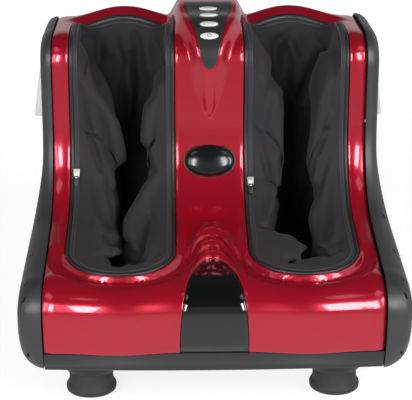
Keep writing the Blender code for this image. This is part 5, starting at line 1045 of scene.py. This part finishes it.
# Folds: part of the lining, height in mm, half width in the picture, and the line that it follows
FOLDS = {
    "left": (
        ("outer", 5.0, 5.0, ((76, 38), (86, 78), (109, 124), (117, 160))),
        ("outer", -4.0, 4.0, ((84, 40), (92, 62), (98, 80))),
        ("outer", -4.0, 3.5, ((80, 104), (94, 148), (101, 168))),
        ("outer", 3.0, 5.0, ((98, 228), (117, 240), (124, 256))),
        ("outer", 5.0, 4.0, ((86, 252), (104, 247), (121, 257))),
        ("outer", -7.0, 3.0, ((86, 258), (106, 253), (126, 268))),
        ("inner", 4.0, 5.0, ((156, 178), (139, 208), (129, 236))),
        ("inner", -6.0, 4.0, ((150, 216), (141, 241), (134, 260))),
        ("inner", 3.0, 5.0, ((160, 232), (151, 262))),
        ("inner", -3.0, 4.0, ((155, 42), (165, 84))),
        ("inner", 3.0, 6.0, ((152, 105), (147, 140))),
        ("rear", -5.0, 3.5, ((95, 28), (102, 54), (103, 82))),
        ("rear", 4.0, 4.0, ((107, 20), (109, 54))),
        ("rear", 4.0, 4.0, ((129, 18), (130, 48))),
        ("rear", -6.0, 4.0, ((134, 34), (141, 81), (137, 118))),
        ("rear", 3.0, 4.0, ((146, 30), (150, 70))),
    ),
    "right": (
        ("inner", -5.0, 3.0, ((256, 238), (276, 246), (292, 258))),
        ("inner", 5.0, 4.0, ((262, 233), (284, 239), (298, 249))),
        ("inner", 4.0, 3.5, ((264, 252), (280, 260), (290, 268))),
        ("toe", -5.0, 3.0, ((272, 254), (296, 266), (318, 268))),
        ("toe", 4.0, 4.0, ((300, 263), (322, 261), (340, 256))),
        ("inner", -4.0, 4.0, ((264, 22), (276, 47), (284, 84))),
        ("inner", 3.0, 5.0, ((252, 30), (262, 60))),
        ("inner", -4.0, 3.5, ((254, 120), (264, 160), (273, 181))),
        ("inner", 6.0, 6.0, ((266, 189), (269, 205), (262, 226))),
        ("inner", -5.0, 3.0, ((279, 190), (276, 212), (265, 231))),
        ("toe", 4.0, 4.0, ((268, 232), (288, 233), (300, 243))),
        ("toe", -5.0, 3.0, ((268, 240), (284, 239), (298, 250))),
        ("toe", 4.0, 3.5, ((274, 246), (290, 246), (297, 258))),
        ("outer", 5.0, 5.0, ((328, 58), (316, 81), (303, 104))),
        ("outer", -5.0, 4.0, ((321, 52), (309, 82), (301, 97))),
        ("outer", 4.0, 5.0, ((331, 116), (320, 143), (316, 180))),
        ("outer", -4.0, 3.5, ((326, 130), (318, 152))),
        ("outer", 3.0, 5.0, ((342, 148), (338, 187), (336, 232))),
        ("outer", -5.0, 3.0, ((321, 249), (332, 242), (343, 240))),
        ("outer", -4.0, 3.0, ((326, 256), (338, 250))),
        ("rear", -4.0, 3.5, ((284, 38), (294, 24))),
        ("rear", -4.0, 3.5, ((303, 20), (313, 29), (318, 44))),
        ("rear", 4.0, 5.0, ((290, 42), (299, 60))),
        ("rear", -3.0, 4.0, ((296, 30), (300, 58))),
    ),
}
DEPTHS = [(k / 84) ** 1.5 for k in range(85)]
FILL = (0.80, 0.60, 0.40, 0.20, 0.0)


def near_line(spot, line):
    """How far a spot of the picture lies from a line of points."""
    best = 1e9
    for first, last in zip(line, line[1:]):
        run, away = Vector(last) - Vector(first), spot - Vector(first)
        share = min(max(away.dot(run) / run.dot(run), 0.0), 1.0)
        best = min(best, (away - run * share).length)
    return best


def sack_point(side, label, along, x, down):
    """Where the lining lies at a share of the way down from its rim, before it is folded."""
    rim = banked(along, x, LINER_INSET, 0.0002)
    foot_y = floor_y(along, rim.y)
    straight = TOE_CENTRE_Y <= rim.y <= REAR_CENTRE_Y
    centre_y = min(max(foot_y, TOE_CENTRE_Y), REAR_CENTRE_Y)
    inward = Vector((side * WELL_CENTRE - x, 0 if straight else centre_y - rim.y, 0)).normalized()
    height = rim.z + (LINING_FLOOR - rim.z) * down
    y = rim.y + (foot_y - rim.y) * down
    depth = 0.0022 * (1 - (1 - min(down * 6, 1.0)) ** 2) + 0.004 * ease((down - 0.75) / 0.25)
    outer = ease(0.5 + 0.8 * (x - side * WELL_CENTRE) * side / WELL_HALF_WIDTH)
    deepest = 0.0
    for which, at_y, at_z, length, tall, lean, swell, blunt, steep in SWELLS[label]:
        dy, dz = y - at_y - lean * (height - at_z), height - at_z
        reach = 1 - (dy / length) ** 2 - (dz / tall) ** 2
        if reach > 0:
            share = outer if which == 1 else 1 - outer
            grown = (reach ** blunt * ease(share * 1.6) * abs(inward.x) ** 0.5
                     * (1 - (1 - min(down * steep, 1.0)) ** 2))
            deepest = max(deepest, swell * grown)
    depth += deepest
    if rim.y < TOE_CENTRE_Y:
        shelf = abs(inward.y) ** 0.7 * (1 - (1 - min(down * 16, 1.0)) ** 2) * ease(1.5 - down * 1.8)
        depth = max(depth, TOE_SWELL[label] * shelf)
    return Vector((rim.x, y, height)) + inward * min(depth, 0.0515 - 0.010 * abs(inward.y))


def fold_height(side, label, along, x, down, place):
    """How far the cloth stands off at a place: the listed folds, over a soft drape."""
    y = outline_at(along)[0].x
    outer = ease(0.5 + 0.8 * (x - side * WELL_CENTRE) * side / WELL_HALF_WIDTH)
    parts = {"outer": outer, "inner": 1 - outer, "rear": ease((y - REAR_CENTRE_Y + 0.02) / 0.03),
             "toe": ease((TOE_CENTRE_Y + 0.02 - y) / 0.03)}
    spot = seen(place)
    high = 0.0
    for part, tall, width, line in FOLDS[label]:
        away = near_line(spot, line)
        if away < 2.5 * width:
            high += 0.0021 * tall * parts[part] * math.exp(-(away / width) ** 2)
    drape = noise.noise(Vector(((spot.x + 0.25 * side * spot.y) / 11, spot.y / 50, 7.0)))
    return (high + 0.0075 * drape) * ease(down * 9) * ease((1.02 - down) * 4)


for side, label in SIDES:
    rim = rim_path(side, LINER_INSET, 36)
    count = len(rim)
    slack = [[sack_point(side, label, along, x, down) for along, x in rim] for down in DEPTHS]
    sack = start(label + "_lining", "grid", x_subdivisions=count,
                 y_subdivisions=len(DEPTHS) + len(FILL) - 1, size=1)
    for index, vertex in enumerate(sack.data.vertices):
        row, column = divmod(index, count + 1)
        number, low = column % count, min(row, len(DEPTHS) - 1)
        point = slack[low][number]
        across = slack[low][(number + 1) % count] - slack[low][number - 1]
        fall = slack[min(low + 1, len(DEPTHS) - 1)][number] - slack[max(low - 1, 0)][number]
        out = across.cross(fall).normalized()
        middle_y = min(max(point.y, TOE_CENTRE_Y), REAR_CENTRE_Y)
        if out.dot(Vector((side * WELL_CENTRE, middle_y, point.z + 0.02)) - point) < 0:
            out = -out
        vertex.co = point + out * fold_height(side, label, *rim[number], DEPTHS[low], point)
        if row >= len(DEPTHS):
            share = FILL[row - len(DEPTHS)]
            middle_y = min(max(vertex.co.y, TOE_CENTRE_Y), REAR_CENTRE_Y)
            spine = Vector((side * WELL_CENTRE, middle_y, LINING_FLOOR))
            vertex.co = spine.lerp(vertex.co, share)
    shape = opened(sack)
    cloth = shape.loops.layers.uv.new("cloth")
    spans = [0.0]
    for k in range(count):
        spans.append(spans[-1] + (skin(*rim[(k + 1) % count]) - skin(*rim[k])).length)
    for face in shape.faces:
        for loop in face.loops:
            row, column = divmod(loop.vert.index, count + 1)
            loop[cloth].uv = (spans[column], (DEPTHS + [1 + 0.05 * k for k in range(1, 7)])[row] * 0.25)
    bmesh.ops.remove_doubles(shape, verts=shape.verts, dist=0.00002)
    closed(shape, sack)
    dress(sack, CHARCOAL_CLOTH, replaced=[label + "_liner"], angle=180)


# Base tray: a black ABS pan that closes the housing from below, with a flared boss over each
# foot. Its front follows the bulge of the shell above it.
TRAY_TOP, TRAY_STEPS = 0.0692, 7


def tray_ring(x):
    """The tray's outline in Y and Z at a place across it."""
    bulge, belly = moulding_rise(SEAM_ALONG, x), 0.0028 * (1 - (x / SEAM_HALF_WIDTH) ** 2)
    front, rear = [], []
    for step in range(TRAY_STEPS + 1):
        share = step / TRAY_STEPS
        z = TRAY_BOTTOM + 0.004 + (TRAY_TOP - TRAY_BOTTOM - 0.004) * share
        front.append((outline_at(along_at(z, 1, 0, END["foot"]))[0].x - bulge * ease(share), z))
        rear.append((outline_at(along_at(z, 1, END["rear"], END["rear_foot"]))[0].x, z))
    lowest = TRAY_BOTTOM - belly
    corner = [(0.0046 - 0.0046 * math.cos(a), 0.004 * (1 - math.sin(a)))
              for a in [math.pi / 2 * k / 5 for k in range(5)]]
    under = [(front[0][0] + out, lowest + up) for out, up in corner]
    behind = [(rear[0][0] - out, lowest + up) for out, up in reversed(corner)]
    return list(reversed(front[1:])) + under + behind + rear[1:]


tray_columns = spread((-SHELL_EDGE, -0.1385, -0.045, 0.045, 0.1385, SHELL_EDGE), 0.006)
sections = [tray_ring(x) for x in tray_columns]
tray = start("base_tray_skin", "grid", x_subdivisions=len(sections[0]) - 1,
             y_subdivisions=len(sections) - 1, size=1)
for index, vertex in enumerate(tray.data.vertices):
    row, column = divmod(index, len(sections[0]))
    vertex.co = (tray_columns[row], *sections[row][column])
modify(recalculated(tray), "SOLIDIFY", thickness=0.003, offset=-1)
dress(tray, BLACK_SATIN, replaced=["base_tray"], angle=40)
FEET = [(side * 0.142, y, place + "_" + label) for side, label in SIDES
        for y, place in ((-0.150, "front"), (0.150, "rear"))]
for x, y, label in FEET:
    boss = drawn_up(label + "_boss", [(r, r, z) for r, z in (
        (0.0280, 0.0278), (0.0297, 0.0281), (0.0304, 0.0292), (0.0307, 0.0330), (0.0311, 0.0375),
        (0.0322, 0.0405), (0.0345, 0.0428), (0.0380, 0.0445), (0.0400, 0.0462))],
                    Matrix.Translation((x, y, 0)), 96)
    dress(boss, BLACK_SATIN, angle=40)


# Feet: round black rubber buffers with a waist, pressed over a stub in each boss. The moulded
# rubber is matt, with a part line round the pad.
RUBBER = mottle(*new_material("black_rubber", "#2C2C2D", 0.70, IOR=1.5),
                90.0, ("#272728", "#323233"), (0.66, 0.80), (1800.0, 0.35, 0.0003))
for x, y, label in FEET:
    foot = drawn_up(label + "_buffer", [(r, r, z) for r, z in (
        (0.0262, 0.0), (0.0276, 0.0004), (0.0286, 0.0014), (0.0290, 0.0030), (0.0290, 0.0052),
        (0.0293, 0.0056), (0.0290, 0.0060), (0.0288, 0.0078), (0.0280, 0.0092), (0.0266, 0.0108),
        (0.0258, 0.0130), (0.0255, 0.0160), (0.0255, 0.0262), (0.0250, 0.0272), (0.0240, 0.0275))],
                    Matrix.Translation((x, y, 0)), 96)
    dress(foot, RUBBER, replaced=["foot_" + label], angle=40)


# Rear cover: a satin black ABS wall, screwed to the chassis, with two groups of cooling slots
# and openings for the mains inlet and its switch.
cover_rows = spread((SHELL_END + 0.0015, END["rear_corner"], END["rear"],
                     along_at(SEAM_HEIGHT + 0.0003, 1, END["rear"], END["rear_foot"])), 0.004)
cover_columns = spread((-SHELL_EDGE, 0.0, SHELL_EDGE), 0.008)
cover = start("rear_cover_skin", "grid", x_subdivisions=len(cover_columns) - 1,
              y_subdivisions=len(cover_rows) - 1, size=1)
for index, vertex in enumerate(cover.data.vertices):
    row, column = divmod(index, len(cover_columns))
    point = outline_at(cover_rows[row])[0]
    vertex.co = (cover_columns[column], *point)
modify(recalculated(cover), "SOLIDIFY", thickness=0.003, offset=-1)
SERVICE_Z, INLET_X, ROCKER_X = 0.107, -0.090, -0.048
slots = block("slots", Matrix.Translation((-0.080, REAR_REACH, 0.190))
              @ Matrix.Diagonal((0.052, 0.02, 0.0036, 1)), 0.0017, 4)
modify(slots, "ARRAY", count=5, use_relative_offset=False, use_constant_offset=True,
       constant_offset_displace=(0, 0, 0.0095))
modify(slots, "ARRAY", count=2, use_relative_offset=False, use_constant_offset=True,
       constant_offset_displace=(0.160, 0, 0))
cut(cover, slots)
for x, wide, high in ((INLET_X, 0.0276, 0.0196), (ROCKER_X, 0.0126, 0.0204)):
    cut(cover, block("service_hole", Matrix.Translation((x, REAR_REACH, SERVICE_Z))
                     @ Matrix.Diagonal((wide, 0.02, high, 1)), 0.0014))
modify(cover, "BEVEL", width=0.0004, segments=2, limit_method="ANGLE", angle_limit=math.radians(50))
dress(cover, BLACK_SATIN, replaced=["rear_cover"], angle=35)

# Mains inlet: a two-pin socket in its own frame, snapped into the cover
BRIGHT_STEEL = mottle(*new_material("bright_steel", "#C9CACB", 0.25, Metallic=1.0),
                      300.0, ("#BFC0C1", "#D2D3D4"), (0.18, 0.32), (2000.0, 0.1, 0.0001))
inlet = block("power_inlet_body", Matrix.Translation((INLET_X, REAR_REACH - 0.0112, SERVICE_Z))
              @ Matrix.Diagonal((0.027, 0.022, 0.019, 1)), 0.0012)
cut(inlet, block("recess", Matrix.Translation((INLET_X, REAR_REACH, SERVICE_Z))
                 @ Matrix.Diagonal((0.0215, 0.026, 0.0135, 1)), 0.0045, 6))
dress(inlet, BLACK_SATIN, replaced=["power_inlet"], angle=35)
for side, label in SIDES:
    pin = drawn_up(label + "_inlet_pin", [(r, r, z) for r, z in (
        (0.0012, -0.0125), (0.0012, -0.0042), (0.0009, -0.0034), (0.0003, -0.0031))],
                   Matrix.Translation((INLET_X + side * 0.0043, REAR_REACH, SERVICE_Z))
                   @ Matrix.Rotation(-math.pi / 2, 4, "X"), 24)
    dress(pin, BRIGHT_STEEL, angle=40)

# Mains rocker: gloss black, two flats that meet over its axis
rocker = block("power_rocker_cap", Matrix.Diagonal((0.0118, 0.0100, 0.0178, 1)), 0.0008)
groove = start("groove", "cylinder", vertices=64, radius=0.040, depth=0.03)
groove.data.transform(Matrix.Translation((0, 0.0442, 0)) @ Matrix.Rotation(math.pi / 2, 4, "Y"))
cut(rocker, groove)
rocker.data.transform(Matrix.Translation((ROCKER_X, REAR_REACH - 0.0040, SERVICE_Z))
                      @ Matrix.Rotation(math.radians(7), 4, "X"))
dress(rocker, BLACK_GLOSS, body="rocker", replaced=["power_rocker"], angle=35)

# Cover screws: pan heads of bright steel with a cross recess
for side, label in SIDES:
    for height, place in ((0.082, "lower"), (0.288, "upper")):
        face = outline_at(along_at(height, 1, END["top"], END["rear_foot"]))[0].x
        at = Matrix.Translation((side * 0.140, face + 0.0002, height)) @ Matrix.Rotation(-math.pi / 2, 4, "X")
        screw = drawn_up(place + "_" + label + "_screw_head", [(r, r, z) for r, z in (
            (0.0040, -0.001), (0.0040, 0.0005), (0.0038, 0.0012), (0.0033, 0.0018), (0.0024, 0.0022),
            (0.0012, 0.0024))], at, 36)
        for turn in (0, math.pi / 2):
            cut(screw, block("blade", at @ Matrix.Rotation(turn + 0.4, 4, "Z")
                             @ Matrix.Translation((0, 0, 0.0026))
                             @ Matrix.Diagonal((0.0044, 0.0009, 0.0024, 1))))
        dress(screw, BRIGHT_STEEL,
              replaced=[place + "_" + label + "_rear_screw"], angle=35)


# Inside: the drive and its frame, which the linings and the shell hide, keep the frame's own
# shapes. Each gets the material of the real piece.
GREY_NYLON = mottle(*new_material("grey_nylon", "#8A8C8E", 0.55, IOR=1.52),
                    80.0, ("#848688", "#909294"), (0.50, 0.62), (1400.0, 0.2, 0.0002))
CIRCUIT_BOARD = mottle(*new_material("green_circuit_board", "#1F5A34", 0.45, Coat_Weight=0.4,
                                     Coat_Roughness=0.2),
                       260.0, ("#1A4E2D", "#25663C"), (0.38, 0.52), (900.0, 0.3, 0.0002))
BY_SLOT = {
    "red_gloss_abs": RED_GLOSS, "charcoal_satin_abs": CHARCOAL_SATIN, "black_satin_abs": BLACK_SATIN,
    "black_gloss_abs": BLACK_GLOSS, "dark_grey_acrylic": PLATE_DARK, "white_abs": WHITE_ABS,
    "silver_painted_abs": SILVER, "black_rubber": RUBBER, "charcoal_polyester": CHARCOAL_CLOTH,
    "black_nylon_tape": NYLON_TAPE, "nickel_plated_zinc": NICKEL, "bright_steel": BRIGHT_STEEL,
    "grey_nylon": GREY_NYLON, "green_circuit_board": CIRCUIT_BOARD,
}
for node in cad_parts.values():
    node.data.materials[0] = BY_SLOT[node.data.materials[0].name.split(".")[0]]


# Studio: a pale floor, lit by a soft lamp on each side, one above and a key in front, with four lamps
# that only show in the gloss. What the gloss mirrors of the room is bright low down and to the
# right and dim overhead; the camera itself sees it white.
floor = start("floor", "plane", size=14)
FLOOR, shader = new_material("studio_floor", "#F4F4F4", 0.6)
rays = add_node(FLOOR, "LightPath")
floor_place = add_node(FLOOR, "TexCoord").outputs["Object"]
away = add_node(FLOOR, "VectorMath", {0: floor_place}, operation="LENGTH").outputs["Value"]
fading = add_node(FLOOR, "MapRange", {"Value": away, "From Min": 0.35, "From Max": 1.3,
                                      "To Min": 0.95, "To Max": 0.45})
whiter = add_node(FLOOR, "MapRange", {"Value": away, "From Min": 0.7, "From Max": 2.5,
                                      "To Min": 1.5, "To Max": 1.85})
white = add_node(FLOOR, "Emission", {"Color": (1, 1, 1, 1), "Strength": whiter.outputs["Result"]})
mixed = add_node(FLOOR, "MixShader", {"Fac": 0.55, 1: shader.outputs[0], 2: white.outputs[0]})
mirrored = add_node(FLOOR, "Emission", {"Color": (1, 1, 1, 1), "Strength": fading.outputs["Result"]})
in_gloss = add_node(FLOOR, "MixShader", {"Fac": rays.outputs["Is Glossy Ray"], 1: shader.outputs[0],
                                         2: mirrored.outputs[0]})
seen_floor = add_node(FLOOR, "MixShader", {"Fac": rays.outputs["Is Camera Ray"],
                                           1: in_gloss.outputs[0], 2: mixed.outputs[0]})
FLOOR.node_tree.links.new(seen_floor.outputs[0], FLOOR.node_tree.nodes["Material Output"].inputs["Surface"])
floor.data.materials.append(FLOOR)


def soft_lamp(name, place, aim, size, power, mirrored=True, lights=True):
    lamp = bpy.data.lights.new(name, "AREA")
    lamp.shape, lamp.size, lamp.size_y, lamp.energy = "RECTANGLE", size[0], size[1], power
    made = bpy.data.objects.new(name, lamp)
    made.location = place
    made.rotation_euler = (Vector(aim) - Vector(place)).to_track_quat("-Z", "Y").to_euler()
    made.visible_glossy, made.visible_diffuse = mirrored, lights
    bpy.context.scene.collection.objects.link(made)


soft_lamp("left_box", (-1.4, -1.35, 0.95), (0, 0, 0.2), (0.5, 1.1), 8)
soft_lamp("right_box", (1.4, -1.0, 0.9), (0, 0, 0.2), (0.4, 1.0), 14)
soft_lamp("top_box", (-0.3, -0.3, 2.0), (0, 0, 0.2), (1.2, 1.0), 2.5, mirrored=False)
soft_lamp("key_box", (-1.0, -2.4, 0.55), (0, 0, 0.2), (1.0, 0.8), 30, mirrored=False)
for side, name in SIDES:
    soft_lamp(name + "_ceiling_box", (side * 0.95, -0.62, 1.9), (0, -0.1, 0.15), (0.7, 0.5), 1.6,
              lights=False)
soft_lamp("toe_left_box", (-1.05, -2.0, 1.20), (0, -0.2, 0.12), (0.45, 1.1), 30, lights=False)
soft_lamp("toe_right_box", (1.05, -2.0, 1.30), (0, -0.2, 0.12), (0.55, 1.2), 36, lights=False)

world = bpy.data.worlds.new("white_room")
world.use_nodes = True
bpy.context.scene.world = world
direction = add_node(world, "SeparateXYZ", {"Vector": add_node(world, "TexCoord").outputs["Generated"]})
behind = add_node(world, "MapRange", {"Value": direction.outputs["Y"], "From Min": -0.2, "From Max": 0.5,
                                      "To Min": 0.36, "To Max": 0.50}, interpolation_type="SMOOTHSTEP")
low = add_node(world, "MapRange", {"Value": direction.outputs["Z"], "From Min": 0.40, "From Max": 0.62,
                                   "To Min": 1.0, "To Max": 0.12}, interpolation_type="SMOOTHSTEP")
back_wall = add_node(world, "Math", {0: behind.outputs["Result"], 1: low.outputs["Result"]},
                     operation="MULTIPLY")
right_wall = add_node(world, "MapRange", {"Value": direction.outputs["X"], "From Min": 0.45, "From Max": 0.85,
                                          "To Min": 0.0, "To Max": 0.80}, interpolation_type="SMOOTHSTEP")
both = add_node(world, "Math", {0: back_wall.outputs[0], 1: right_wall.outputs["Result"]},
                operation="MAXIMUM")
straight_on = add_node(world, "LightPath").outputs["Is Camera Ray"]
level = add_node(world, "Math", {0: both.outputs[0], 1: straight_on}, operation="MAXIMUM")
backdrop = world.node_tree.nodes["Background"]
backdrop.inputs["Color"].default_value = (1, 1, 1, 1)
world.node_tree.links.new(level.outputs[0], backdrop.inputs["Strength"])

camera_data = bpy.data.cameras.new("camera")
camera_data.lens, camera_data.sensor_width = 129.3, 36
camera = bpy.data.objects.new("camera", camera_data)
bpy.context.scene.collection.objects.link(camera)
camera.location = CAMERA_PLACE
camera.rotation_euler = (math.pi / 2 - CAMERA_PITCH, 0, CAMERA_YAW)
bpy.context.scene.camera = camera
bpy.context.scene.view_settings.view_transform = "Standard"
